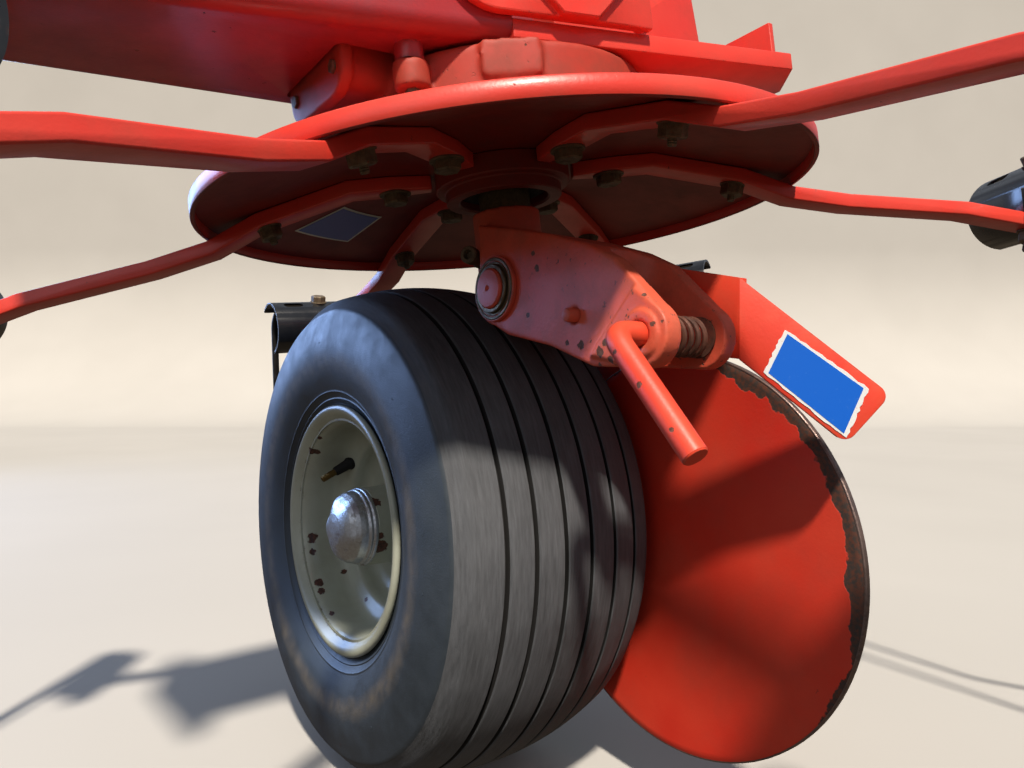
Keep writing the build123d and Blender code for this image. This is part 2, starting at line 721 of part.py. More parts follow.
with BuildPart() as bracket:
    with BuildSketch(on_head(ROUND_NECK_BOTTOM)):
        Circle(ROUND_NECK_R)
    extrude(amount=ROUND_NECK_TOP - ROUND_NECK_BOTTOM)
    fillet(bracket.edges().group_by(Axis(hub, rotor_axis))[0], radius=ROUND_NECK_EDGE)
    with BuildSketch(level_side(BRACKET_OUTER)):
        with BuildLine():
            Polyline(*CASTING_SIDE, close=True)
        make_face()
        with Locations(PIVOT):
            Circle(PIVOT_BOSS_R)
        with Locations(LOCK):
            Circle(EAR_R)
    extrude(amount=casting_width)
    with BuildSketch(level_side(ear_pad_outer)):
        with BuildLine():
            CenterArc(LOCK, EAR_R, 0, 360)
            Line(*EAR_PAD_LINE)
        make_hull()
    extrude(amount=EAR_PAD_PROUD)
    with BuildSketch(level_side(lock_boss_outer)):
        with Locations(LOCK):
            Circle(LOCK_BOSS_R)
    extrude(amount=LOCK_BOSS_PROUD)
    with BuildSketch(Plane(origin=hub + Vector(slot_mid, 0, slot_foot))):
        with Locations((0, (SLOT_START + slot_end) / 2)):
            Rectangle(slot_width, SLOT_START - slot_end)
        with Locations((0, SLOT_START)):
            Circle(slot_width / 2)
    extrude(amount=CASTING_SIDE[0][1] - slot_foot, mode=Mode.SUBTRACT)
    with BuildSketch(level_side(lock_boss_outer)):
        with Locations(PIVOT):
            Circle(PIVOT_R + SEAT_GAP)
        with Locations(LOCK):
            Circle(LOCK_R + SEAT_GAP)
    extrude(amount=BRACKET_INNER - lock_boss_outer, mode=Mode.SUBTRACT)
    with BuildSketch(level_side(BRACKET_OUTER)):
        with Locations(STUB):
            Circle(STUB_R + SEAT_GAP)
    extrude(amount=STUB_LENGTH, mode=Mode.SUBTRACT)
    with BuildSketch(on_head(SHAFT_BOTTOM - SEAT_GAP)):
        Circle(SHAFT_R + SEAT_GAP)
    extrude(amount=ROUND_NECK_TOP - SHAFT_BOTTOM + 2 * ROUND_NECK_R, mode=Mode.SUBTRACT)
save(bracket, "bracket")

# Stop pin pressed into the bracket's outboard face
with BuildPart() as stop_pin:
    with BuildSketch(level_side(BRACKET_OUTER - STUB_LENGTH)):
        with Locations(STUB):
            Circle(STUB_R)
    extrude(amount=2 * STUB_LENGTH - SEAT_GAP)
save(stop_pin, "stop_pin")

# Pivot pin, with its clip outboard and its head inboard, and the washer under the clip
lever_outer = BRACKET_INNER + LEVER_GAP
guard_inner = WHEEL_SIDE + TYRE_HALF + TYRE_TO_GUARD + GUARD_SHEET
leg_outer = guard_inner + SEAT_GAP
leg_inner = leg_outer + LEG_THICK
washer_outer = BRACKET_OUTER - SEAT_GAP - PIVOT_WASHER_THICK
clip_inner = washer_outer - SEAT_GAP
pin_outer = clip_inner - PIVOT_CLIP_THICK
pin_head = leg_inner + PIVOT_HEAD_GAP

with BuildPart() as pivot_pin:
    with BuildSketch(level_side(pin_outer)):
        with Locations(PIVOT):
            Circle(PIVOT_CLIP_R)
    extrude(amount=PIVOT_CLIP_THICK)
    with BuildSketch(level_side(pin_outer)):
        with Locations(PIVOT):
            Circle(PIVOT_R)
    extrude(amount=pin_head - pin_outer)
    with BuildSketch(level_side(pin_head)):
        with Locations(PIVOT):
            Circle(PIVOT_HEAD_R)
    extrude(amount=PIVOT_HEAD_THICK)
save(pivot_pin, "pivot_pin")

with BuildPart() as pivot_washer:
    with BuildSketch(level_side(washer_outer)):
        with Locations(PIVOT):
            Circle(PIVOT_WASHER_R)
            Circle(PIVOT_R + SEAT_GAP, mode=Mode.SUBTRACT)
    extrude(amount=PIVOT_WASHER_THICK)
save(pivot_washer, "pivot_washer")

# Lock pin with its hanging handle, and the spring between the ears
lock_end = BRACKET_INNER - SEAT_GAP

with BuildPart() as lock_pin:
    with BuildLine() as lock_route:
        FilletPolyline(
            hub + Vector(lock_end, *LOCK),
            hub + Vector(HANDLE_AT, *LOCK),
            hub + Vector(HANDLE_AT, *HANDLE_END),
            radius=HANDLE_BEND_R,
        )
    with BuildSketch(Plane(origin=lock_route.line @ 0, z_dir=lock_route.line % 0)):
        Circle(LOCK_R)
    sweep(path=lock_route.line)
save(lock_pin, "lock_pin")

with BuildPart() as lock_spring:
    with BuildSketch(level_side(slot_mid - slot_width / 2 + SEAT_GAP)):
        with Locations(LOCK):
            Circle(SPRING_R)
            Circle(LOCK_R + SEAT_GAP, mode=Mode.SUBTRACT)
    extrude(amount=slot_width - 2 * SEAT_GAP)
save(lock_spring, "lock_spring")

# Leg: a tube on the pivot pin and a plate down to the axle
axle_at = (WHEEL_FORWARD, -AXLE_DROP)

with BuildPart() as leg:
    with BuildSketch(level_side(BRACKET_INNER + LEG_TUBE_GAP)):
        with Locations(PIVOT):
            Circle(LEG_TUBE_R)
    extrude(amount=leg_inner - BRACKET_INNER - LEG_TUBE_GAP)
    with BuildSketch(level_side(leg_outer)) as leg_outline:
        with BuildLine():
            CenterArc(PIVOT, LEG_TOP_R, 0, 360)
            CenterArc(axle_at, LEG_FOOT_R, 0, 360)
        make_hull()
    extrude(amount=LEG_THICK)
    with BuildSketch(level_side(BRACKET_INNER + LEG_TUBE_GAP)):
        with Locations(PIVOT):
            Circle(PIVOT_R + RUNNING_GAP)
        with Locations(axle_at):
            Circle(AXLE_R + SEAT_GAP)
    extrude(amount=leg_inner - BRACKET_INNER, mode=Mode.SUBTRACT)
save(leg, "leg")

# Lever: a plate on the leg's tube, its outer part folded inboard behind the bracket
lever_bend = radians(LEVER_BEND)
fold = Plane(
    origin=hub + Vector(lever_outer, LEVER_FOLD_Y, LEVER_FOLD_TOP),
    x_dir=(sin(lever_bend), -cos(lever_bend), 0),
    z_dir=(-cos(lever_bend), -sin(lever_bend), 0),
)
lever_slope = radians(LEVER_SLOPE)
lever_tip_u = LEVER_LENGTH * cos(lever_slope)
lever_tip_z = -LEVER_LENGTH * sin(lever_slope)

with BuildPart() as lever:
    with BuildSketch(level_side(lever_outer)):
        with BuildLine():
            Polyline(
                (PIVOT[0], PIVOT[1] + LEVER_R),
                (LEVER_FOLD_Y, LEVER_FOLD_TOP),
                (LEVER_FOLD_Y, LEVER_FOLD_BOTTOM),
                (PIVOT[0], PIVOT[1] - LEVER_R),
                close=True,
            )
        make_face()
        with Locations(PIVOT):
            Circle(LEVER_R)
            Circle(LEG_TUBE_R + SEAT_GAP, mode=Mode.SUBTRACT)
    extrude(amount=LEVER_THICK)
    with BuildSketch(level_side(lever_outer)):
        with Locations(LOCK):
            Circle(LOCK_R + SEAT_GAP)
    extrude(amount=LOCK_SEAT, mode=Mode.SUBTRACT)
    with BuildSketch(fold):
        with BuildLine():
            Polyline(
                (0, 0),
                (lever_tip_u, lever_tip_z),
                (
                    lever_tip_u - LEVER_TIP_WIDTH * sin(lever_slope),
                    lever_tip_z - LEVER_TIP_WIDTH * cos(lever_slope),
                ),
                (0, LEVER_FOLD_BOTTOM - LEVER_FOLD_TOP),
                close=True,
            )
        make_face()
        fillet(vertices().sort_by(Axis.X)[-2:], radius=LEVER_CORNER)
    extrude(amount=-LEVER_THICK)
save(lever, "lever")

# Guard disc beside the tyre, on the leg's plate
with BuildPart() as guard_disc:
    with BuildSketch(level_side(guard_inner - GUARD_SHEET)):
        with Locations((WHEEL_FORWARD - GUARD_BEHIND, -AXLE_DROP - GUARD_BELOW)):
            Circle(GUARD_R)
        with Locations(axle_at):
            Circle(AXLE_COLLAR_R + 2 * SEAT_GAP, mode=Mode.SUBTRACT)
    extrude(amount=GUARD_SHEET)
save(guard_disc, "guard_disc")

# Wheel, drawn about the axle: local X is radius, local Y is inboard
axle_centre = hub + Vector(WHEEL_SIDE, WHEEL_FORWARD, -AXLE_DROP)
wheel_section = Plane(origin=axle_centre, x_dir=(0, 0, 1), z_dir=(0, 1, 0))
axle_line = Axis(axle_centre, (1, 0, 0))
axle_inner = leg_inner + AXLE_END - WHEEL_SIDE
collar_end = leg_outer - SEAT_GAP - WHEEL_SIDE
hub_flange_at = WHEEL_DISC_AT + WHEEL_DISC_THICK + SEAT_GAP

with BuildPart() as axle:
    with BuildSketch(wheel_section):
        with BuildLine():
            Polyline(
                (0, WHEEL_HUB_OUTER + SEAT_GAP),
                (AXLE_R, WHEEL_HUB_OUTER + SEAT_GAP),
                (AXLE_R, WHEEL_HUB_INNER + COLLAR_GAP),
                (AXLE_COLLAR_R, WHEEL_HUB_INNER + COLLAR_GAP),
                (AXLE_COLLAR_R, collar_end),
                (AXLE_R, collar_end),
                (AXLE_R, axle_inner),
                (0, axle_inner),
                close=True,
            )
        make_face()
    revolve(axis=axle_line)
save(axle, "axle")

with BuildPart() as wheel_hub:
    with BuildSketch(wheel_section):
        with BuildLine():
            Polyline(
                (AXLE_R + RUNNING_GAP, WHEEL_HUB_OUTER),
                (WHEEL_HUB_R, WHEEL_HUB_OUTER),
                (WHEEL_HUB_R, hub_flange_at),
                (WHEEL_HUB_FLANGE_R, hub_flange_at),
                (WHEEL_HUB_FLANGE_R, hub_flange_at + HUB_FLANGE_THICK),
                (WHEEL_HUB_R, hub_flange_at + HUB_FLANGE_THICK),
                (WHEEL_HUB_R, WHEEL_HUB_INNER),
                (AXLE_R + RUNNING_GAP, WHEEL_HUB_INNER),
                close=True,
            )
        make_face()
    revolve(axis=axle_line)
save(wheel_hub, "wheel_hub")

# Rim: a sheet rolled to flanges, bead seats and a well, with a flat disc welded in
rim_tyre_side = [
    # radius, inboard
    (RIM_FLANGE_R, -RIM_HALF + RIM_SHEET),
    (BEAD_SEAT_R, -RIM_HALF + RIM_SHEET),
    (BEAD_SEAT_R, -RIM_WELL_HALF - RIM_SHEET),
    (RIM_WELL_R, -RIM_WELL_HALF),
    (RIM_WELL_R, RIM_WELL_HALF),
    (BEAD_SEAT_R, RIM_WELL_HALF + RIM_SHEET),
    (BEAD_SEAT_R, RIM_HALF - RIM_SHEET),
    (RIM_FLANGE_R, RIM_HALF - RIM_SHEET),
]
rim_axle_side = even_strip(rim_tyre_side, RIM_SHEET)

with BuildPart() as rim:
    with BuildSketch(wheel_section):
        with BuildLine():
            Polyline(*rim_tyre_side, *reversed(rim_axle_side), close=True)
        make_face()
        with BuildLine():
            Polyline(
                (WHEEL_HUB_R + SEAT_GAP, WHEEL_DISC_AT),
                (RIM_WELL_R - RIM_SHEET / 2, WHEEL_DISC_AT),
                (RIM_WELL_R - RIM_SHEET / 2, WHEEL_DISC_AT + WHEEL_DISC_THICK),
                (WHEEL_HUB_R + SEAT_GAP, WHEEL_DISC_AT + WHEEL_DISC_THICK),
                close=True,
            )
        make_face()
    revolve(axis=axle_line)
save(rim, "rim")

# Tyre: a hollow carcass whose beads sit inside the rim's flanges
bead_r = BEAD_SEAT_R + SEAT_GAP
bead_face = RIM_HALF - RIM_SHEET - SEAT_GAP

with BuildPart() as tyre:
    with BuildSketch(wheel_section):
        with BuildLine():
            ThreePointArc((TREAD_EDGE_R, -TREAD_HALF), (TYRE_R, 0), (TREAD_EDGE_R, TREAD_HALF))
            for side in (-1, 1):
                Polyline((TREAD_EDGE_R, side * TREAD_HALF), (SHOULDER_R, side * SHOULDER_HALF))
                ThreePointArc(
                    (SHOULDER_R, side * SHOULDER_HALF),
                    (BULGE_R, side * TYRE_HALF),
                    (BEAD_TOP_R, side * bead_face),
                )
                Polyline(
                    (BEAD_TOP_R, side * bead_face),
                    (bead_r, side * bead_face),
                    (bead_r, side * (bead_face - BEAD_WIDTH)),
                    (BEAD_TOP_R, side * (bead_face - BEAD_WIDTH)),
                )
                ThreePointArc(
                    (BEAD_TOP_R, side * (bead_face - BEAD_WIDTH)),
                    (BULGE_R, side * (TYRE_HALF - SIDEWALL)),
                    (TREAD_EDGE_R - TREAD_THICK, side * (TREAD_HALF - SIDEWALL / 2)),
                )
            ThreePointArc(
                (TREAD_EDGE_R - TREAD_THICK, SIDEWALL / 2 - TREAD_HALF),
                (TYRE_R - TREAD_THICK, 0),
                (TREAD_EDGE_R - TREAD_THICK, TREAD_HALF - SIDEWALL / 2),
            )
        make_face()
    revolve(axis=axle_line)
save(tyre, "tyre")

# Hub cap: a thin pressed dome over the hub's outer end
cap_outer = WHEEL_HUB_OUTER - CAP_LENGTH

with BuildPart() as hub_cap:
    with BuildSketch(wheel_section):
        with BuildLine():
            FilletPolyline(
                (CAP_R, WHEEL_HUB_OUTER - SEAT_GAP),
                (CAP_R, cap_outer),
                (0, cap_outer),
                radius=CAP_ROUND,
            )
            FilletPolyline(
                (CAP_R - CAP_SHEET, WHEEL_HUB_OUTER - SEAT_GAP),
                (CAP_R - CAP_SHEET, cap_outer + CAP_SHEET),
                (0, cap_outer + CAP_SHEET),
                radius=CAP_ROUND - CAP_SHEET,
            )
            Line((CAP_R, WHEEL_HUB_OUTER - SEAT_GAP), (CAP_R - CAP_SHEET, WHEEL_HUB_OUTER - SEAT_GAP))
            Line((0, cap_outer), (0, cap_outer + CAP_SHEET))
        make_face()
    revolve(axis=axle_line)
save(hub_cap, "hub_cap")
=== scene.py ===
"""Looks of one hay tedder rotor unit: red frame beam and gear case, six-armed tine
rotor, cast bracket, and the leg with its wheel, tyre and guard disc.

Shapes that the solids hold are copied and given rounded edges. What they leave plain,
such as coils, bolts, tread grooves and stickers, is modelled here. Shapes are drawn in
millimetres, and places and meshes are in metres.
"""
import json
import logging
from dataclasses import dataclass, field
from enum import Enum
from math import atan2, cos, hypot, pi, radians, sin, sqrt, tan, tau
from random import Random
from typing import Sequence

import bmesh
import bpy
from mathutils import Matrix, Vector, noise


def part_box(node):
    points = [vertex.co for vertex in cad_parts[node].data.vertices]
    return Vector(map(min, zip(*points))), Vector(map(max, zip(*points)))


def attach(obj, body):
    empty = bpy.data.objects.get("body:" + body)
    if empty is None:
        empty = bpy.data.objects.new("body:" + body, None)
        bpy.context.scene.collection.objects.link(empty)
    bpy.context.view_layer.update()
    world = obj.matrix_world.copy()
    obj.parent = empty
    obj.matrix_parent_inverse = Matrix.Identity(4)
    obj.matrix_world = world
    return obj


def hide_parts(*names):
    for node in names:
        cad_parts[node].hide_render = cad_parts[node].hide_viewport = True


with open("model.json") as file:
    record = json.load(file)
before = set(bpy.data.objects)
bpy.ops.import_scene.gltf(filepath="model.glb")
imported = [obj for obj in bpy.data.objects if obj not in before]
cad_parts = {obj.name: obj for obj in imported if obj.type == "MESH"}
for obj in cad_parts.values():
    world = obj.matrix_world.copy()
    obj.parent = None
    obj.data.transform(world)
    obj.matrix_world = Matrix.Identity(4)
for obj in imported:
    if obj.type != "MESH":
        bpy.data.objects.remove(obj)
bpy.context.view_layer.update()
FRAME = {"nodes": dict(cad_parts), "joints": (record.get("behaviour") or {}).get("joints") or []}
LOG = logging.getLogger("tedder")
MM = 0.001

Point = tuple[float, float]
Spot = tuple[float, float, float, float]
Socket = bpy.types.NodeSocket
Material = bpy.types.Material
Piece = bpy.types.Object
JOINTS = {joint["name"]: joint for joint in FRAME["joints"]}


class Body(Enum):
    """The bodies that pieces ride on."""

    FRAME = "frame"
    ROTOR = "rotor"
    LEG = "leg"
    WHEEL = "wheel"


class Slot(Enum):
    """The record's material slots."""

    RED = "red_paint"
    CAST = "red_cast_iron"
    STEEL = "bare_steel"
    SPRING = "spring_steel"
    COVER = "black_cover"
    SILVER = "wheel_silver"
    ZINC = "zinc_plate"
    TYRE = "tyre_rubber"


def shift(x: float, y: float, z: float) -> Matrix:
    """A move, in millimetres."""
    return Matrix.Translation(Vector((x, y, z)) * MM)


def turned(angle: float, axis: str = "Z") -> Matrix:
    """A turn about one axis, in radians."""
    return Matrix.Rotation(angle, 4, axis)


def facing(origin: Vector, out: Vector) -> Matrix:
    """A place whose local Z points out.

    Args:
        origin: The place's origin, in metres.
        out: Where local Z points.

    Returns:
        The matrix to the part's frame.
    """
    z = out.normalized()
    x = z.orthogonal().normalized()
    turn = Matrix((x, z.cross(x), z)).transposed().to_4x4()
    return Matrix.Translation(origin) @ turn


def rotor_axes() -> Matrix:
    """The hub point's axes: Z up the rotor's axis, X inboard along the beam.

    Returns:
        A matrix from those axes to the part's frame.
    """
    joint = JOINTS["rotor_spin"]
    up = Vector(joint["axis"]).normalized()
    inboard = (Vector((1, 0, 0)) - up * up.x).normalized()
    turn = Matrix((inboard, up.cross(inboard), up)).transposed().to_4x4()
    return Matrix.Translation(joint["pos_m"]) @ turn


HERE = Matrix.Identity(4)
FLIP = turned(pi, "X")
HEAD = rotor_axes()
HUB = HEAD.translation
LEVEL = Matrix.Translation(HUB)
AXLE = Matrix.Translation(JOINTS["wheel_spin"]["pos_m"]) @ turned(pi / 2, "Y")
GUARD = (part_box("guard_disc")[0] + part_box("guard_disc")[1]) / 2
OUTBOARD = Vector((-1, 0, 0))
# the leg's pivot, forward and up from the hub point, in millimetres
PIVOT: Point = (-40.0, -90.0)


def linear(hexa: str) -> tuple[float, float, float, float]:
    """Turns an sRGB hex colour to linear.

    Args:
        hexa: The colour, such as "c8281c".

    Returns:
        Red, green, blue and an alpha of 1.
    """
    parts = [int(hexa[i : i + 2], 16) / 255 for i in (0, 2, 4)]
    flat = [p / 12.92 if p <= 0.04045 else ((p + 0.055) / 1.055) ** 2.4 for p in parts]
    return (flat[0], flat[1], flat[2], 1.0)


class Nodes:
    """A node tree in the making, with the patterns that several finishes share."""

    def __init__(self, tree: bpy.types.NodeTree, place: str = "Object") -> None:
        """Takes a tree, and finds its shader and its coordinates.

        Args:
            tree: The node tree of a material or world.
            place: Name of the coordinates that its patterns follow.
        """
        self.tree = tree
        self.shader = next(n for n in tree.nodes if n.type in ("BSDF_PRINCIPLED", "BACKGROUND"))
        self.place = self.add("TexCoord", out=place)

    def add(self, kind: str, inputs: dict | None = None, out: int | str = 0,
            **settings: object) -> Socket:
        """Adds one shader node with its settings and links.

        Args:
            kind: The node's type name, without "ShaderNode".
            inputs: Input name or number to a socket, a value or an sRGB hex colour.
            out: Name or number of the output that is wanted.
            settings: The node's own properties.

        Returns:
            The wanted output socket.
        """
        node = self.tree.nodes.new("ShaderNode" + kind)
        for name, value in settings.items():
            setattr(node, name, value)
        for name, value in (inputs or {}).items():
            if isinstance(value, Socket):
                self.tree.links.new(value, node.inputs[name])
            else:
                node.inputs[name].default_value = linear(value) if isinstance(value, str) else value
        return node.outputs[out]

    def feed(self, **inputs: Socket | float) -> None:
        """Feeds the shader's inputs, whose names are written with _ for a space.

        Args:
            inputs: Input name to a socket, or to a number that is the same everywhere.
        """
        for name, value in inputs.items():
            entry = self.shader.inputs[name.replace("_", " ")]
            if isinstance(value, Socket):
                self.tree.links.new(value, entry)
            else:
                entry.default_value = value

    def clouds(self, size_mm: float, low: float, high: float, detail: float = 3.0, rough: float = 0.55,
               least: float = 0.0, most: float = 1.0, place: Socket | None = None) -> Socket:
        """A noise mask that runs from its least to its most between two noise levels.

        Args:
            size_mm: Size of one cloud, in millimetres.
            low: Noise level that gives the least.
            high: Noise level that gives the most.
            detail: Octaves of the noise.
            rough: How strong the finer octaves are.
            least: The mask's lowest value.
            most: The mask's highest value.
            place: Other coordinates than the tree's own.

        Returns:
            The mask's output socket.
        """
        grain = self.add("TexNoise", {"Vector": place or self.place, "Scale": 1 / (size_mm * MM),
                                      "Detail": detail, "Roughness": rough})
        return self.add("MapRange", {"Value": grain, "From Min": low, "From Max": high, "To Min": least,
                                     "To Max": most})

    def distance_to(self, centre: Vector, flat: bool = False) -> Socket:
        """Distance from a point, or from the line through it along the axle.

        Args:
            centre: The point in the part's frame, in metres.
            flat: Whether distance along the axle is left out.

        Returns:
            The distance's socket, in metres.
        """
        away = self.add("VectorMath", {0: self.place, 1: centre}, operation="SUBTRACT")
        if flat:
            away = self.add("VectorMath", {0: away, 1: (0.0, 1.0, 1.0)}, operation="MULTIPLY")
        return self.add("VectorMath", {0: away}, "Value", operation="LENGTH")

    def ragged(self, reach: Socket, size_mm: float, sway_mm: float) -> Socket:
        """Adds noise to a distance, so that a mask's outline is torn.

        Args:
            reach: The distance's socket, in metres.
            size_mm: Size of the tears.
            sway_mm: How far the outline sways.

        Returns:
            The new distance's socket.
        """
        sway = self.clouds(size_mm, 0.25, 0.75, 4.0, 0.6, -sway_mm * MM, sway_mm * MM)
        return self.add("Math", {0: reach, 1: sway}, operation="ADD")


def start_material(name: str) -> tuple[Material, Nodes]:
    """Starts a node material.

    Args:
        name: The material's name.

    Returns:
        The material and its nodes.
    """
    material = bpy.data.materials.new(name)
    material.use_nodes = True
    return material, Nodes(material.node_tree)


@dataclass(frozen=True)
class Enamel:
    """Sprayed alkyd enamel on steel or iron. It reads as a saturated, slightly wavy gloss
    that has chalked in cloudy patches and chipped to brown steel along its edges."""

    name: str
    paint: str
    faded: str
    bare: str = "4b3a31"
    dust: str = "a34a38"
    rust: str = "5c3526"
    roughness: float = 0.36
    bare_roughness: float = 0.78
    gloss: float = 0.2
    gloss_roughness: float = 0.16
    tone_mm: float = 110.0
    peel_mm: float = 2.2
    peel: float = 0.06
    chip_mm: float = 7.0
    chips: float = 0.30
    chip_zone_mm: float = 130.0
    chip_depth: float = 0.22
    edge_mm: float = 2.0
    edge_wear: float = 0.5
    edge_chip_mm: float = 9.0
    dusty: float = 0.35
    dust_mm: float = 45.0
    relief_mm: float = 1.2
    # where the paint is off, in level axes from the hub point: x, y, z and radius, in millimetres
    spots: tuple[Spot, ...] = ()

    def rubbed(self, nodes: Nodes, bare: Socket) -> Socket:
        """Adds the places where the paint has come off in one patch.

        Args:
            nodes: The material's nodes.
            bare: The mask of bare metal so far.

        Returns:
            The new mask's socket.
        """
        for x, y, z, size in self.spots:
            reach = nodes.distance_to(HUB + Vector((x, y, z)) * MM)
            torn = nodes.ragged(reach, 0.9 * size, 0.45 * size)
            edge = size * MM
            inside = nodes.add("MapRange", {"Value": torn, "From Min": edge, "From Max": 0.88 * edge})
            bare = nodes.add("Math", {0: bare, 1: inside}, operation="MAXIMUM", use_clamp=True)
        return bare

    def bare_metal(self, nodes: Nodes) -> Socket:
        """The mask of bare metal: along sharp edges, in small chips and in rubbed patches.

        Args:
            nodes: The material's nodes.

        Returns:
            The mask's socket.
        """
        surface = nodes.add("NewGeometry", out="Normal")
        round_off = nodes.add("Bevel", {"Radius": self.edge_mm * MM}, samples=3)
        match = nodes.add("VectorMath", {0: surface, 1: round_off}, "Value", operation="DOT_PRODUCT")
        sharp = nodes.add("MapRange", {"Value": match, "From Min": 0.985, "From Max": 0.86})
        torn = nodes.clouds(self.edge_chip_mm, 0.62 - 0.3 * self.edge_wear, 0.68, 6.0, 0.7)
        worn = nodes.add("Math", {0: sharp, 1: torn}, operation="MULTIPLY", use_clamp=True)
        flake = nodes.clouds(self.chip_mm, 0.76 - 0.2 * self.chips, 0.80 - 0.2 * self.chips, 4.0, 0.6)
        zone = nodes.clouds(self.chip_zone_mm, 0.50, 0.62, 2.0)
        chipped = nodes.add("Math", {0: flake, 1: zone}, operation="MULTIPLY", use_clamp=True)
        bare = nodes.add("Math", {0: worn, 1: chipped}, operation="MAXIMUM", use_clamp=True)
        return self.rubbed(nodes, bare)

    def build(self) -> Material:
        """Builds the material.

        Returns:
            The finished material.
        """
        material, nodes = start_material(self.name)
        tone = nodes.clouds(self.tone_mm, 0.35, 0.68, 4.0)
        coat = nodes.add("Mix", {0: tone, 6: self.paint, 7: self.faded}, 2, data_type="RGBA")
        dirt = nodes.clouds(self.dust_mm, 0.44, 0.74, 7.0, 0.68, most=self.dusty)
        dusted = nodes.add("Mix", {0: dirt, 6: coat, 7: self.dust}, 2, data_type="RGBA")
        bare = self.bare_metal(nodes)
        fine = nodes.clouds(3.0, 0.4, 0.6)
        rusty = nodes.add("Mix", {0: fine, 6: self.bare, 7: self.rust}, 2, data_type="RGBA")
        colour = nodes.add("Mix", {0: bare, 6: dusted, 7: rusty}, 2, data_type="RGBA")
        chalk = nodes.add("Math", {0: dirt, 1: 0.8}, operation="MULTIPLY", use_clamp=True)
        dull = nodes.add("Math", {0: chalk, 1: bare}, operation="MAXIMUM", use_clamp=True)
        rough = nodes.add("MapRange", {"Value": dull, "To Min": self.roughness,
                                       "To Max": self.bare_roughness})
        skin = nodes.clouds(self.peel_mm, 0.2, 0.8, 2.0, least=0.5, most=0.5 + self.peel)
        height = nodes.add("Math", {0: bare, 1: -self.chip_depth, 2: skin}, operation="MULTIPLY_ADD",
                           use_clamp=True)
        bump = nodes.add("Bump", {"Height": height, "Strength": 0.9, "Distance": self.relief_mm * MM})
        nodes.feed(Base_Color=colour, Roughness=rough, Normal=bump, Coat_Weight=self.gloss,
                   Coat_Roughness=self.gloss_roughness)
        return material


@dataclass(frozen=True)
class GuardEnamel(Enamel):
    """The same enamel on the guard disc, where passing stalks have rubbed a ragged band
    of its upper edge down to dark metal."""

    rubbed_from_mm: float = 158.0
    crop_side: tuple[float, float, float] = (0.0, -0.80, 0.60)

    def rubbed(self, nodes: Nodes, bare: Socket) -> Socket:
        """Adds the band, which is widest where the disc's edge meets the crop.

        Args:
            nodes: The material's nodes.
            bare: The mask of bare metal so far.

        Returns:
            The new mask's socket.
        """
        away = nodes.add("VectorMath", {0: nodes.place, 1: GUARD}, operation="SUBTRACT")
        side = nodes.add("VectorMath", {0: away, 1: self.crop_side}, "Value", operation="DOT_PRODUCT")
        sheltered = nodes.add("MapRange", {"Value": side, "From Min": 0.03, "From Max": 0.13,
                                           "To Min": 0.016, "To Max": 0.0})
        reach = nodes.ragged(nodes.distance_to(GUARD, flat=True), 26.0, 7.0)
        wide = nodes.add("Math", {0: reach, 1: sheltered}, operation="SUBTRACT")
        edge = self.rubbed_from_mm * MM
        band = nodes.add("MapRange", {"Value": wide, "From Min": edge, "From Max": edge + 0.0012})
        return nodes.add("Math", {0: bare, 1: band}, operation="MAXIMUM", use_clamp=True)


@dataclass(frozen=True)
class WornMetal:
    """Bare or plated steel, dulled by weather, with stains of old grease and rust."""

    name: str
    metal: str
    stain: str
    roughness: float = 0.42
    metallic: float = 0.85
    stain_mm: float = 9.0
    stained: float = 0.5
    pits: float = 0.25
    pit_mm: float = 2.0

    def build(self) -> Material:
        """Builds the material.

        Returns:
            The finished material.
        """
        material, nodes = start_material(self.name)
        spots = nodes.clouds(self.stain_mm, 0.62 - 0.3 * self.stained, 0.72, 6.0, 0.65)
        fine = nodes.clouds(self.pit_mm, 0.3, 0.75)
        grey = nodes.add("Math", {0: fine, 1: 0.35}, operation="MULTIPLY", use_clamp=True)
        tint = nodes.add("Mix", {0: grey, 6: self.metal, 7: self.stain}, 2, data_type="RGBA")
        colour = nodes.add("Mix", {0: spots, 6: tint, 7: self.stain}, 2, data_type="RGBA")
        shine = nodes.add("MapRange", {"Value": spots, "To Min": self.metallic,
                                       "To Max": 0.2 * self.metallic})
        rough = nodes.add("MapRange", {"Value": spots, "To Min": self.roughness, "To Max": 0.8})
        bump = nodes.add("Bump", {"Height": fine, "Strength": self.pits, "Distance": 0.4 * MM})
        nodes.feed(Base_Color=colour, Metallic=shine, Roughness=rough, Normal=bump)
        return material


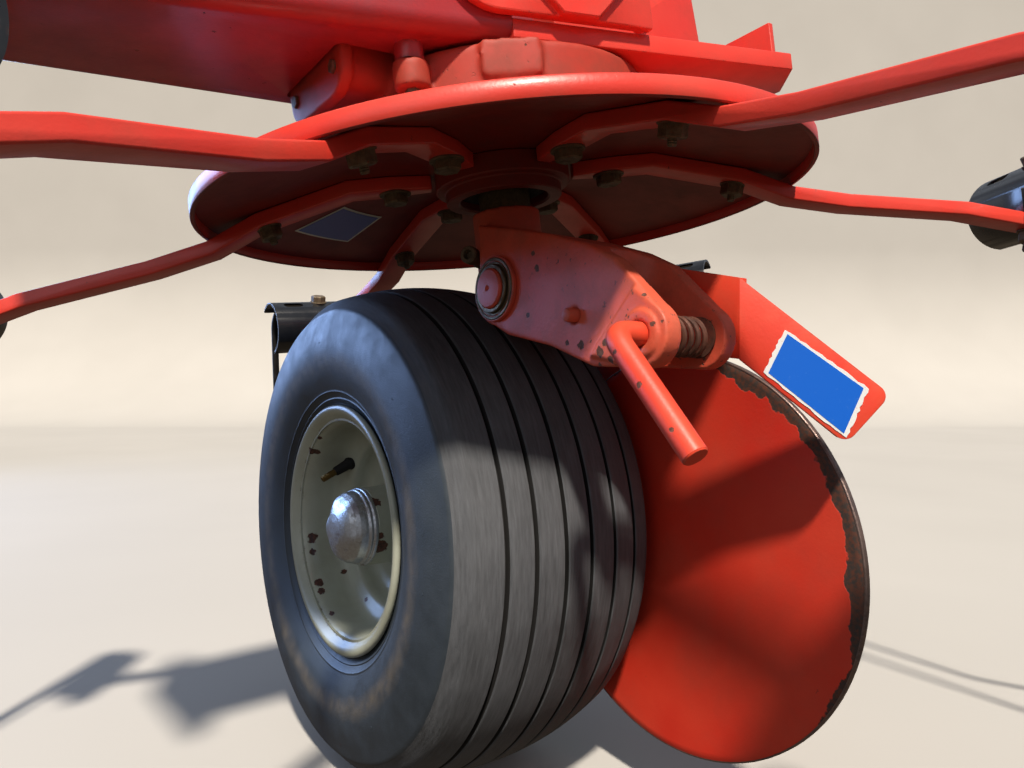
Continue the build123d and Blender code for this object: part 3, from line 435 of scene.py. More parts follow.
@dataclass(frozen=True)
class Rubber:
    """Vulcanised rubber, moulded and then rolled in soil. It reads as charcoal with a waxy
    sheen where smooth, a dusty ring round the rim, and a grey film on the tread that is
    combed out along the way it rolls."""

    name: str
    rubber: str
    soil: str
    roughness: float
    soiled: float
    grit_mm: float = 1.6
    grit: float = 0.25
    streak: float = 1.0
    ring: float = 0.0
    ring_dust: str = "847864"
    ring_mm: tuple[float, float, float, float] = (146.0, 156.0, 160.0, 170.0)

    def dusted(self, nodes: Nodes, tone: Socket) -> Socket:
        """Adds the dusty ring round the rim to the colour.

        Args:
            nodes: The material's nodes.
            tone: The colour so far.

        Returns:
            The new colour's socket.
        """
        reach = nodes.ragged(nodes.distance_to(AXLE.translation, flat=True), 30.0, 3.0)
        first, low, high, last = (r * MM for r in self.ring_mm)
        rise = nodes.add("MapRange", {"Value": reach, "From Min": first, "From Max": low,
                                      "To Max": self.ring})
        fall = nodes.add("MapRange", {"Value": reach, "From Min": last, "From Max": high})
        dust = nodes.add("Math", {0: rise, 1: fall}, operation="MULTIPLY", use_clamp=True)
        patchy = nodes.add("Math", {0: dust, 1: nodes.clouds(14.0, 0.2, 0.7, 6.0)}, operation="MULTIPLY",
                           use_clamp=True)
        return nodes.add("Mix", {0: patchy, 6: tone, 7: self.ring_dust}, 2, data_type="RGBA")

    def build(self) -> Material:
        """Builds the material.

        Returns:
            The finished material.
        """
        material, nodes = start_material(self.name)
        stretch = nodes.add("Mapping", {"Vector": nodes.place, "Scale": (self.streak, 1.0, 1.0)})
        film = nodes.clouds(22.0, 0.36, 0.70, 8.0, 0.66, most=0.5 * self.soiled, place=stretch)
        wide = nodes.clouds(120.0, 0.3, 0.7, most=0.5 * self.soiled)
        soil = nodes.add("Math", {0: film, 1: wide}, operation="ADD", use_clamp=True)
        tone = nodes.add("Mix", {0: soil, 6: self.rubber, 7: self.soil}, 2, data_type="RGBA")
        if self.ring:
            tone = self.dusted(nodes, tone)
        rough = nodes.add("MapRange", {"Value": soil, "To Min": self.roughness, "To Max": 0.9})
        grain = nodes.clouds(self.grit_mm, 0.2, 0.8, 4.0, 0.7, place=stretch)
        bump = nodes.add("Bump", {"Height": grain, "Strength": self.grit, "Distance": 0.6 * MM})
        nodes.feed(Base_Color=tone, Roughness=rough, Normal=bump)
        return material


@dataclass(frozen=True)
class Vinyl:
    """Printed vinyl film: even colour under clear gloss, scuffed in fine scratches."""

    name: str
    ink: str
    scuff: str
    scuffed: float

    def build(self) -> Material:
        """Builds the material.

        Returns:
            The finished material.
        """
        material, nodes = start_material(self.name)
        long = nodes.add("Mapping", {"Vector": nodes.place, "Scale": (1.0, 0.25, 1.0)})
        scuffs = nodes.clouds(3.0, 0.62, 0.70, 6.0, 0.7, most=self.scuffed, place=long)
        colour = nodes.add("Mix", {0: scuffs, 6: self.ink, 7: self.scuff}, 2, data_type="RGBA")
        rough = nodes.add("MapRange", {"Value": scuffs, "To Min": 0.28, "To Max": 0.7})
        nodes.feed(Base_Color=colour, Roughness=rough)
        return material


class Finishes:
    """Every finish, built once."""

    def __init__(self) -> None:
        """Builds the materials."""
        # sprayed steel in full sun: clean, bright orange-red with a soft gloss
        self.red = Enamel("red_enamel_on_steel", "dc382c", "e2483a").build()
        # the same paint darkened as painted shade, for where the sun never reaches: deep, dusty and nearly
        # matt
        self.sheltered = Enamel(
            "red_enamel_painted_shade_under_dish", "7c1d14", "8c2a1c", dust="5c3834", roughness=0.5, gloss=0.0, dusty=0.7,
            edge_wear=0.2, chips=0.1,
        ).build()
        # paint over sand-cast iron: grainy, paler on its high places, chipped along edges and corners
        self.cast = Enamel(
            "red_enamel_on_cast_iron", "d84c34", "dc6448", bare="6a4e42", dust="9c5440", roughness=0.50,
            gloss=0.05, peel_mm=2.8, peel=0.14, chip_mm=5.0, chips=0.6, edge_mm=2.4, edge_wear=0.8, dusty=0.6,
            dust_mm=30.0,
            spots=((-36.0, -85.8, -67.7, 2.2), (-36.0, -90.6, -79.5, 2.8), (-36.0, -79.7, -113.7, 2.2),
                   (-39.0, -148.4, -136.2, 3.0), (-37.0, -139.1, -139.1, 3.4), (-39.0, -201.0, -108.7, 2.8),
                   (-36.0, -124.4, -137.0, 2.4), (-41.0, -216.0, -128.1, 2.2), (-41.0, -210.3, -129.5, 1.8),
                   (-39.0, -161.2, -144.8, 3.6), (-39.0, -170.7, -150.5, 3.0), (-39.0, -158.0, -154.0, 3.6),
                   (-39.0, -166.0, -139.0, 2.6)),
        ).build()
        # paint on the oily gear casting: dull, with brown dust that sticks, and darker all over as painted
        # shade
        self.gear = Enamel(
            "red_enamel_on_gear_casting_painted_shade", "a8301f", "b0402e", bare="4e382e", dust="6e3a2a", roughness=0.60,
            gloss=0.0, peel_mm=6.0, chips=0.5, dusty=0.7,
        ).build()
        # old paint on the beam: crimson darkened as painted shade, chalky in wide patches whose purple is a
        # painted sky reflection
        self.beam = Enamel(
            "red_enamel_painted_shade_and_sky_on_beam", "aa2828", "a0363c", bare="3a2624", dust="703c48", roughness=0.34,
            gloss=0.25, chip_mm=9.0, chips=0.45, dusty=0.75, dust_mm=90.0,
        ).build()
        # paint that hands and stalks rub: orange, faded, with small brown nicks
        self.worn_red = Enamel(
            "red_enamel_worn_by_crop", "e03a28", "ea5034", bare="8a5c4a", dust="cc5a3c", roughness=0.42,
            gloss=0.1, chips=0.2, edge_mm=1.6, edge_wear=0.7, dusty=0.5,
            spots=((-71.0, -208.4, -147.5, 1.9), (-71.0, -227.8, -167.2, 2.1), (-71.0, -251.6, -192.0, 1.6)),
        ).build()
        # the guard disc: flat bright red that ends in a ragged dark band at its upper edge
        self.guard = GuardEnamel(
            "red_enamel_on_guard_disc", "d8301f", "e0442e", bare="3a322e", dust="b04a38", roughness=0.42,
            gloss=0.1, chips=0.2, dust_mm=70.0,
        ).build()
        # wheel enamel: grey-green silver, smooth enough to mirror the sky, with rust patches
        self.silver = Enamel(
            "silver_wheel_enamel", "a2a896", "b2b8aa", bare="3c241a", dust="857d68", roughness=0.34,
            chip_mm=4.0, chips=0.25, edge_mm=1.6, edge_wear=0.25,
            spots=((-76.6, 233.1, -325.7, 5.2), (-77.9, 228.7, -339.2, 3.6), (-78.9, 210.5, -367.2, 4.6),
                   (-79.3, 203.7, -374.2, 3.6), (-84.8, 213.2, -232.9, 4.2), (-80.0, 211.1, -234.0, 3.4),
                   (-84.2, 196.9, -218.9, 2.6), (-79.1, 178.0, -390.8, 3.2), (-43.8, 174.1, -382.2, 2.6),
                   (-67.0, 111.6, -273.4, 6.5), (-63.0, 103.4, -315.6, 7.0), (-66.0, 101.4, -305.0, 4.5),
                   (-50.3, 212.2, -360.7, 3.0)),
        ).build()
        # gloss enamel on bent sheet: near black, with crisp highlights along the curve
        self.black = Enamel(
            "black_enamel_on_cover", "0d0f13", "16191f", bare="3b3936", dust="4b4a46", roughness=0.24,
            gloss=0.5, chips=0.25, dusty=0.16, edge_wear=0.3,
        ).build()
        # turned steel under old grease: brown, with a broken shine
        self.steel = WornMetal("turned_steel_greased", "6e6048", "33291c", metallic=0.7).build()
        # plated bolts under dirt: khaki, dull, bright only at their corners
        self.bolt = WornMetal("zinc_bolts_dirty", "7c6e58", "3e3224", roughness=0.55, metallic=0.4,
                              stained=0.7).build()
        # pressed and plated cap: pale bluish metal that shows each dent
        self.zinc = WornMetal("zinc_plate_weathered", "c2c8ce", "75675a", roughness=0.34, metallic=0.8,
                              stain_mm=16.0, stained=0.3).build()
        # drawn wire, blacked: thin dark lines with a faint shine
        self.spring = WornMetal("spring_wire_blacked", "2a2826", "1a1613", roughness=0.5,
                                metallic=0.7).build()
        # drawn wire, rusted: matt red-brown
        self.rusty = WornMetal("spring_wire_rusted", "6b4436", "3a221a", roughness=0.6, metallic=0.4,
                               stained=0.6).build()
        # sheet edge polished by the crop: a thin warm glint
        self.bright = WornMetal("steel_polished_by_crop", "8f7c76", "4c3a34", roughness=0.4).build()
        # turned brass, tarnished: dull gold
        self.brass = WornMetal("valve_brass", "7c6438", "40301c", roughness=0.45, stained=0.45).build()
        # moulded sidewall: black rubber with a blue tint that is a painted sky reflection, waxy, with the
        # rim's dusty ring
        self.sidewall = Rubber("tyre_sidewall_rubber_sky_tinted", "28313a", "434c54", roughness=0.36, soiled=0.6,
                               ring=0.5).build()
        # tread: grey soil film, combed out round the wheel
        self.tread = Rubber("tyre_tread_rubber", "34373a", "64676c", roughness=0.6, soiled=1.0, grit=0.5,
                            streak=12.0).build()
        # rubber in grooves and seals: clean and black
        self.groove = Rubber("tyre_groove_rubber", "0b0b0c", "1d1b18", roughness=0.8, soiled=0.4).build()
        # printed film on the lever: strong flat blue, edged in torn white
        self.blue = Vinyl("blue_vinyl_sticker", "1464d2", "5a96e4", scuffed=0.2).build()
        self.white = Vinyl("white_vinyl_border", "e4e8e8", "c06a58", scuffed=0.5).build()
        # the same film under the dish, soiled and darkened as painted shade
        self.dark_blue = Vinyl("blue_vinyl_soiled_and_painted_shade", "2050b4", "4a62a0", scuffed=0.25).build()
        self.dull_white = Vinyl("white_vinyl_soiled_and_painted_shade", "d4d4cc", "7a6f64", scuffed=0.3).build()


def dress(piece: Piece, *materials: Material) -> None:
    """Gives a piece its materials, the first one everywhere.

    Args:
        piece: The piece.
        materials: Its materials, in the order of its faces' numbers.
    """
    piece.data.materials.clear()
    for material in materials:
        piece.data.materials.append(material)


def settle(piece: Piece, body: Body, replaces: Sequence[str] = ()) -> None:
    """Lets a piece ride on its body and hides the solids that it stands for.

    Args:
        piece: The piece.
        body: The body that it moves with.
        replaces: The solids that it stands for.
    """
    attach(piece, body.value)
    if replaces:
        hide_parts(*replaces)
    LOG.info("%s: %d faces on %s", piece.name, len(piece.data.polygons), body.value)


def soften(points: Sequence, radius: float, steps: int) -> list[Vector]:
    """Rounds the corners of an open line in a plane or in space.

    Args:
        points: The corners.
        radius: The arcs' radius, less where a run is short.
        steps: Segments in each arc.

    Returns:
        The rounded line's points.
    """
    corners = [Vector(p) for p in points]
    straight = 0.02
    line = [corners[0]]
    for before, corner, after in zip(corners, corners[1:], corners[2:]):
        back, ahead = before - corner, after - corner
        turn = pi - back.angle(ahead)
        if turn < straight:
            line.append(corner)
            continue
        reach = min(radius * tan(turn / 2), 0.49 * back.length, 0.49 * ahead.length)
        first = corner + back.normalized() * reach
        last = corner + ahead.normalized() * reach
        for step in range(steps + 1):
            share = step / steps
            line.append(first.lerp(corner, share).lerp(corner.lerp(last, share), share))
    line.append(corners[-1])
    return line


def finish_mesh(name: str, verts: Sequence, faces: Sequence, place: Matrix, sharp: float = 34.0) -> Piece:
    """Makes a smooth-shaded object from vertices and faces.

    Args:
        name: The object's name.
        verts: Points in the piece's own axes, in metres.
        faces: Vertex numbers of each face.
        place: From those axes to the part's frame.
        sharp: Edges past this angle stay sharp, in degrees.

    Returns:
        The new object, at the origin with its place in its mesh.
    """
    mesh = bpy.data.meshes.new(name)
    mesh.from_pydata([place @ Vector(v) for v in verts], [], faces)
    form = bmesh.new()
    form.from_mesh(mesh)
    bmesh.ops.remove_doubles(form, verts=form.verts, dist=1e-6)
    bmesh.ops.recalc_face_normals(form, faces=form.faces)
    form.to_mesh(mesh)
    form.free()
    mesh.polygons.foreach_set("use_smooth", [True] * len(mesh.polygons))
    mesh.set_sharp_from_angle(angle=radians(sharp))
    made = bpy.data.objects.new(name, mesh)
    bpy.context.scene.collection.objects.link(made)
    return made


@dataclass
class Stock:
    """Shapes gathered before they become one piece. They come in millimetres and are
    held in metres."""

    verts: list[Vector] = field(default_factory=list)
    faces: list[tuple[int, ...]] = field(default_factory=list)

    def take(self, verts: Sequence, faces: Sequence, place: Matrix = HERE) -> None:
        """Adds one shape.

        Args:
            verts: Its points, in millimetres.
            faces: Its faces.
            place: Where it goes, in the stock's axes.
        """
        start = len(self.verts)
        self.verts += [place @ (Vector(v) * MM) for v in verts]
        self.faces += [tuple(i + start for i in f) for f in faces]

    def lathe(self, profile: Sequence, around: int, place: Matrix = HERE, closed: bool = True) -> None:
        """Adds a turned shape about local Z.

        Args:
            profile: Points as radius and height.
            around: Segments in the full turn.
            place: Where it goes.
            closed: Whether the profile is a loop. Points on the axis close it by themselves.
        """
        rings = len(profile)
        last = rings if closed else rings - 1
        verts, faces = [], []
        for k in range(around):
            turn = tau * k / around
            verts += [(r * cos(turn), r * sin(turn), z) for r, z in profile]
            here, after = k * rings, (k + 1) % around * rings
            for i in range(last):
                j = (i + 1) % rings
                faces.append((here + i, here + j, after + j, after + i))
        self.take(verts, faces, place)

    def sweep(self, path: Sequence, radius: float, sides: int, place: Matrix = HERE) -> None:
        """Adds a round bar or wire along a line, with flat ends.

        Args:
            path: The line's points.
            radius: The wire's radius.
            sides: Sides of its section.
            place: Where it goes.
        """
        line = [Vector(p) for p in path]
        tangent = (line[1] - line[0]).normalized()
        side = tangent.orthogonal().normalized()
        verts, faces = [], []
        for i, point in enumerate(line):
            ahead = line[min(i + 1, len(line) - 1)] - line[max(i - 1, 0)]
            if ahead.length > 1e-6:
                fresh = ahead.normalized()
                side = tangent.rotation_difference(fresh) @ side
                tangent = fresh
            side = (side - tangent * side.dot(tangent)).normalized()
            other = tangent.cross(side)
            for k in range(sides):
                turn = tau * k / sides
                verts.append(point + (side * cos(turn) + other * sin(turn)) * radius)
        for i in range(len(line) - 1):
            for k in range(sides):
                a, b = i * sides + k, i * sides + (k + 1) % sides
                faces.append((a, b, b + sides, a + sides))
        faces.append(tuple(range(sides)))
        faces.append(tuple(range(len(verts) - sides, len(verts))))
        self.take(verts, faces, place)

    def prism(self, outline: Sequence, low: float, high: float, place: Matrix = HERE,
              bevel: float = 0.0) -> None:
        """Adds an upright prism over an outline in local X and Y.

        Args:
            outline: The outline's corners.
            low: Height of its foot.
            high: Height of its top.
            place: Where it goes.
            bevel: Width of the chamfer round its top.
        """
        count = len(outline)
        middle = sum((Vector(p) for p in outline), Vector((0, 0))) / count
        layers = [(low, 0.0), (high - bevel, 0.0), (high, bevel)] if bevel else [(low, 0.0), (high, 0.0)]
        verts = []
        for height, inset in layers:
            for p in outline:
                out = Vector(p) - middle
                drawn = out * (1 - inset / max(out.length, 1e-3)) + middle
                verts.append((drawn.x, drawn.y, height))
        faces = [tuple(range(count)), tuple(range(len(verts) - count, len(verts)))]
        for layer in range(len(layers) - 1):
            for i in range(count):
                a = layer * count + i
                b = layer * count + (i + 1) % count
                faces.append((a, b, b + count, a + count))
        self.take(verts, faces, place)

    def make(self, name: str, body: Body, slot: Slot, material: Material, place: Matrix = HERE,
             replaces: Sequence[str] = (), sharp: float = 34.0) -> None:
        """Makes the piece, dresses it and lets it ride on its body.

        Args:
            name: The piece's name.
            body: The body that it moves with.
            slot: The record's slot of its finish; not used.
            material: Its material.
            place: From the stock's axes to the part's frame.
            replaces: The solids that it stands for.
            sharp: Edges past this angle stay sharp, in degrees.
        """
        piece = finish_mesh(name, self.verts, self.faces, place, sharp)
        dress(piece, material)
        settle(piece, body, replaces)


def rounded_copy(node: str, body: Body, material: Material, edge_mm: float = 1.2,
                 segments: int = 2, voxel_mm: float = 0.0, smooth: int = 0) -> None:
    """Copies a solid's mesh with rounded edges, as paint and castings have.

    Args:
        node: The solid's name.
        body: The body that it moves with.
        material: Its material.
        edge_mm: Width of the rounding, for sheet and bar.
        segments: Segments across the rounding.
        voxel_mm: Mesh size of a casting, which is remeshed and smoothed instead.
        smooth: Smoothing passes of a casting.
    """
    mesh = FRAME["nodes"][node].data.copy()
    form = bmesh.new()
    form.from_mesh(mesh)
    bmesh.ops.remove_doubles(form, verts=form.verts, dist=1e-5)
    bmesh.ops.dissolve_limit(form, angle_limit=radians(0.5), verts=form.verts, edges=form.edges)
    form.to_mesh(mesh)
    form.free()
    piece = bpy.data.objects.new(node + "_shell", mesh)
    bpy.context.scene.collection.objects.link(piece)
    if voxel_mm:
        remesh = piece.modifiers.new("skin", "REMESH")
        remesh.mode = "VOXEL"
        remesh.voxel_size = voxel_mm * MM
        soft = piece.modifiers.new("soft", "SMOOTH")
        soft.factor = 0.5
        soft.iterations = smooth
    else:
        bevel = piece.modifiers.new("edges", "BEVEL")
        bevel.width = edge_mm * MM
        bevel.segments = segments
        bevel.limit_method = "ANGLE"
        bevel.angle_limit = radians(30)
        bevel.harden_normals = False
    shaped = bpy.data.meshes.new_from_object(piece.evaluated_get(bpy.context.evaluated_depsgraph_get()))
    piece.modifiers.clear()
    piece.data = shaped
    shaped.polygons.foreach_set("use_smooth", [True] * len(shaped.polygons))
    shaped.set_sharp_from_angle(angle=radians(60 if voxel_mm else 28))
    dress(piece, material)
    settle(piece, body, [node])


def disc(radius: float, around: int = 28) -> list[Point]:
    """Corners of a round outline."""
    return [(radius * cos(tau * k / around), radius * sin(tau * k / around)) for k in range(around)]


@dataclass(frozen=True)
class Bolt:
    """A six-sided bolt head or nut, with its washer and the thread's end where they show."""

    across: float
    tall: float
    washer_r: float = 0.0
    thread_r: float = 0.0
    pitch: float = 1.6

    def add_to(self, stock: Stock, place: Matrix) -> None:
        """Adds it to a stock.

        Args:
            stock: What it is added to.
            place: Its foot, local Z pointing out.
        """
        thick = 0.12 * self.washer_r
        if self.washer_r:
            stock.prism(disc(self.washer_r), 0.0, thick, place, bevel=0.2 * thick)
        height = thick + self.tall
        stock.prism(disc(self.across / sqrt(3), 6), thick, height, place, bevel=0.07 * self.across)
        if self.thread_r:
            root_r, end_r, top = 0.88 * self.thread_r, 0.8 * self.thread_r, height + 1.375 * self.thread_r
            line = [(0.0, thick), (self.thread_r, thick)]
            while height < top:
                line += [(self.thread_r, height), (root_r, height + self.pitch / 2)]
                height += self.pitch
            stock.lathe(line + [(end_r, height), (0.0, height)], 18, place, closed=False)


@dataclass
class Wheel:
    """Tyre, rim, hub and cap, turned about the axle. Local Z runs inboard."""

    finishes: Finishes
    tread_r: float = 231.5
    shoulder_r: float = 216.0
    tread_half: float = 90.0
    grooves: tuple[float, ...] = (-64.0, -40.0, -13.0, 13.0, 41.0, 69.0)
    groove_half: float = 1.9
    groove_deep: float = 5.5
    groove_lip: float = 0.8
    around: int = 192
    vents: int = 7
    hub_bolts: int = 5
    hub_bolt: Bolt = Bolt(17.0, 9.0)

    def crown(self, x: float) -> float:
        """Radius of the tread, which bulges a little.

        Args:
            x: The place across it.

        Returns:
            The radius there.
        """
        rise = self.tread_r - self.shoulder_r
        bend = (self.tread_half**2 + rise**2) / (2 * rise)
        return self.tread_r - bend + sqrt(bend**2 - x**2)

    def half_wall(self, side: float) -> list[Point]:
        """Sidewall from the bead up to the tread's edge.

        Args:
            side: -1 outboard, 1 inboard.

        Returns:
            Points as radius and place across.
        """
        wall = [
            (101.9, 78.5), (101.9, 90.0), (104.0, 91.7), (117.0, 91.7), (119.5, 93.4), (121.0, 94.8),
            (122.2, 95.9), (123.4, 95.6), (124.4, 96.4), (128.0, 98.4), (129.0, 99.6), (130.2, 99.4),
            (131.0, 99.7), (140.0, 103.6), (150.0, 106.2), (160.0, 107.8), (166.0, 108.0), (172.0, 107.9),
            (180.0, 106.8), (190.0, 104.6), (198.0, 102.4), (202.0, 101.6), (204.2, 100.8), (205.6, 99.4),
            (209.0, 96.0), (212.6, 93.0),
        ]
        return [(r, side * x) for r, x in wall]

    def tyre_profile(self) -> list[Point]:
        """The tyre's whole section.

        Returns:
            Points as radius and place across, as a loop.
        """
        line = self.half_wall(-1.0)
        clear = self.groove_half + 2.0
        half = int(self.tread_half)
        plain = [x for x in range(-half, half + 1, 5) if all(abs(x - g) > clear for g in self.grooves)]
        lip, deep = self.groove_lip, self.groove_deep
        cut = ((-lip, 0.0), (0.0, lip), (0.3, deep))
        for x in sorted(plain + list(self.grooves)):
            if x not in self.grooves:
                line.append((self.crown(x), x))
                continue
            walls = [(x - self.groove_half + step, drop) for step, drop in cut]
            walls += [(x + self.groove_half - step, drop) for step, drop in reversed(cut)]
            line += [(self.crown(place) - drop, place) for place, drop in walls]
        line += reversed(self.half_wall(1.0))
        inside = [(118.0, 78.5), (166.0, 92.0), (200.0, 78.0), (214.0, 0.0)]
        return line + inside + [(r, -x) for r, x in reversed(inside[:-1])]

    def build_tyre(self) -> None:
        """Turns the tyre, with tread faces, groove faces and sidewalls in their own rubber."""
        stock = Stock()
        stock.lathe(self.tyre_profile(), self.around)
        tyre = finish_mesh("tyre_carcass", stock.verts, stock.faces, AXLE, 40.0)
        # the sidewall rubber's blue tint is a painted sky reflection
        dress(tyre, self.finishes.sidewall, self.finishes.tread, self.finishes.groove)
        tread_from, tread_within, grooved_within, sunk_from = 205.8, 99.0, 80.0, 1.2
        back = AXLE.inverted()
        for face in tyre.data.polygons:
            middle = (back @ face.center) / MM
            radius, across = hypot(middle.x, middle.y), abs(middle.z)
            if radius > tread_from and across < tread_within:
                sunk = self.crown(min(across, self.tread_half)) - radius
                face.material_index = 2 if sunk > sunk_from and across < grooved_within else 1
        settle(tyre, Body.WHEEL, ["tyre"])
        vents = Stock()
        for k in range(self.vents):
            place = AXLE @ turned(tau * k / self.vents + 0.35) @ shift(176, 0, -107.3) @ FLIP
            vents.prism(disc(0.9, 10), -2.0, 0.3, place)
        # the vent stubs share the sidewall's painted sky tint
        vents.make("tyre_vent_stubs", Body.WHEEL, Slot.TYRE, self.finishes.sidewall)

    def build_rim(self) -> None:
        """Turns the rim with its rolled flanges and the dished disc, in one smooth line."""
        outboard = [
            (112.5, -91.9), (114.9, -92.6), (116.2, -94.6), (115.9, -97.0), (113.8, -98.4), (111.0, -98.3),
            (107.8, -96.6), (104.6, -93.0), (101.0, -89.6), (98.4, -84.0), (97.6, -74.0), (97.2, -62.0),
            (95.2, -54.5), (90.5, -49.5), (84.6, -46.8), (81.4, -43.0), (80.4, -37.0), (78.6, -31.0),
            (73.8, -26.6), (67.0, -24.8), (56.0, -24.3), (40.4, -24.3),
        ]
        inboard = [
            (40.4, -19.3), (66.0, -19.6), (76.0, -21.0), (80.5, -17.0), (80.5, 44.0), (84.0, 48.6),
            (91.0, 53.0), (97.6, 58.0), (98.0, 88.0), (101.0, 91.0), (108.0, 96.6), (113.8, 98.4),
            (116.2, 94.6), (112.5, 91.9), (101.5, 91.9), (101.4, 53.5), (85.0, 46.5), (84.0, 40.0),
            (84.0, -40.0), (85.0, -45.5), (101.4, -55.5), (101.5, -91.9),
        ]
        stock = Stock()
        stock.lathe(outboard + inboard, 120)
        stock.make("rim_shell", Body.WHEEL, Slot.SILVER, self.finishes.silver, AXLE, ["rim"], 50.0)

    def build_valve(self) -> None:
        """Adds the rubber-footed brass valve in the bowl of the rim."""
        foot, tip = Vector((-53.2, 73.2, -49.5)), Vector((-38.1, 74.1, -80.0))
        place = facing(AXLE @ (foot * MM), AXLE.to_3x3() @ (tip - foot))
        rubber = Stock()
        line = [(0.0, -4.0), (7.0, -4.0), (7.0, 1.5), (5.6, 3.5), (4.8, 17.0), (4.2, 18.5), (0.0, 18.5)]
        rubber.lathe(line, 20, place, closed=False)
        rubber.make("valve_rubber_foot", Body.WHEEL, Slot.TYRE, self.finishes.groove)
        brass = Stock()
        line = [(0.0, 17.0), (3.5, 17.0), (3.5, 26.0)]
        line += [(3.2 + 0.4 * (k % 2), 26.4 + 0.6 * k) for k in range(12)]
        line += [(2.6, 34.0), (1.6, 34.0), (1.4, 31.0), (0.0, 31.0)]
        brass.lathe(line, 18, place, closed=False)
        brass.make("valve_stem", Body.WHEEL, Slot.ZINC, self.finishes.brass)

    def build_hub(self) -> None:
        """Turns the hub barrel with its flange, and bolts the flange to the disc."""
        barrel = [
            (17.2, -72.0), (30.0, -72.0), (35.4, -72.0), (36.4, -70.8), (37.0, -60.0), (38.4, -30.0),
            (40.0, -24.6), (66.0, -18.6), (66.0, -9.6), (40.0, -9.6), (40.0, 56.0), (38.0, 60.0),
            (17.2, 60.0),
        ]
        stock = Stock()
        stock.lathe(barrel, 72)
        for k in range(self.hub_bolts):
            self.hub_bolt.add_to(stock, turned(tau * k / self.hub_bolts + 0.3) @ shift(54, 0, -9.6))
        stock.make("wheel_hub_shell", Body.WHEEL, Slot.SILVER, self.finishes.silver, AXLE, ["wheel_hub"])

    def build_cap(self) -> None:
        """Turns the pressed grease cap and knocks dents into its dome."""
        profile = [
            (30.0, -71.8), (36.2, -71.8), (36.8, -72.6), (36.7, -75.0), (35.3, -75.9), (35.1, -77.0),
            (35.8, -77.8), (35.3, -79.2), (33.9, -80.2), (33.6, -83.0), (32.6, -87.5), (30.2, -91.8),
            (26.6, -95.6), (21.2, -98.6), (15.0, -100.6), (8.0, -101.8), (3.0, -102.1), (0.0, -102.1),
        ]
        stock = Stock()
        stock.lathe(soften(profile, 2.5, 2), 64, closed=False)
        cap = finish_mesh("hub_cap_shell", stock.verts, stock.faces, HERE, 60.0)
        dome_from, dents_r = -81.0, 26.0
        # turn round the cap in radians, then height, width and depth
        dents = (
            (2.2, -97.0, 16.0, 3.6), (3.4, -92.0, 13.0, 2.2), (0.9, -93.0, 14.0, 2.0),
            (4.6, -90.0, 12.0, 1.6), (5.6, -95.0, 12.0, 1.8),
        )
        for vertex in cap.data.vertices:
            p = vertex.co / MM
            if p.z > dome_from:
                continue
            for turn, height, width, deep in dents:
                near = (p - Vector((dents_r * cos(turn), dents_r * sin(turn), height))).length / width
                if near < 1:
                    inward = Vector((p.x, p.y, (p.z + 80.0) * 0.8)).normalized()
                    vertex.co -= inward * deep * (1 - near * near) ** 2 * MM
        cap.data.transform(AXLE)
        dress(cap, self.finishes.zinc)
        settle(cap, Body.WHEEL, ["hub_cap"])

    def build(self) -> None:
        """Builds the wheel's pieces."""
        self.build_tyre()
        self.build_rim()
        self.build_valve()
        self.build_hub()
        self.build_cap()


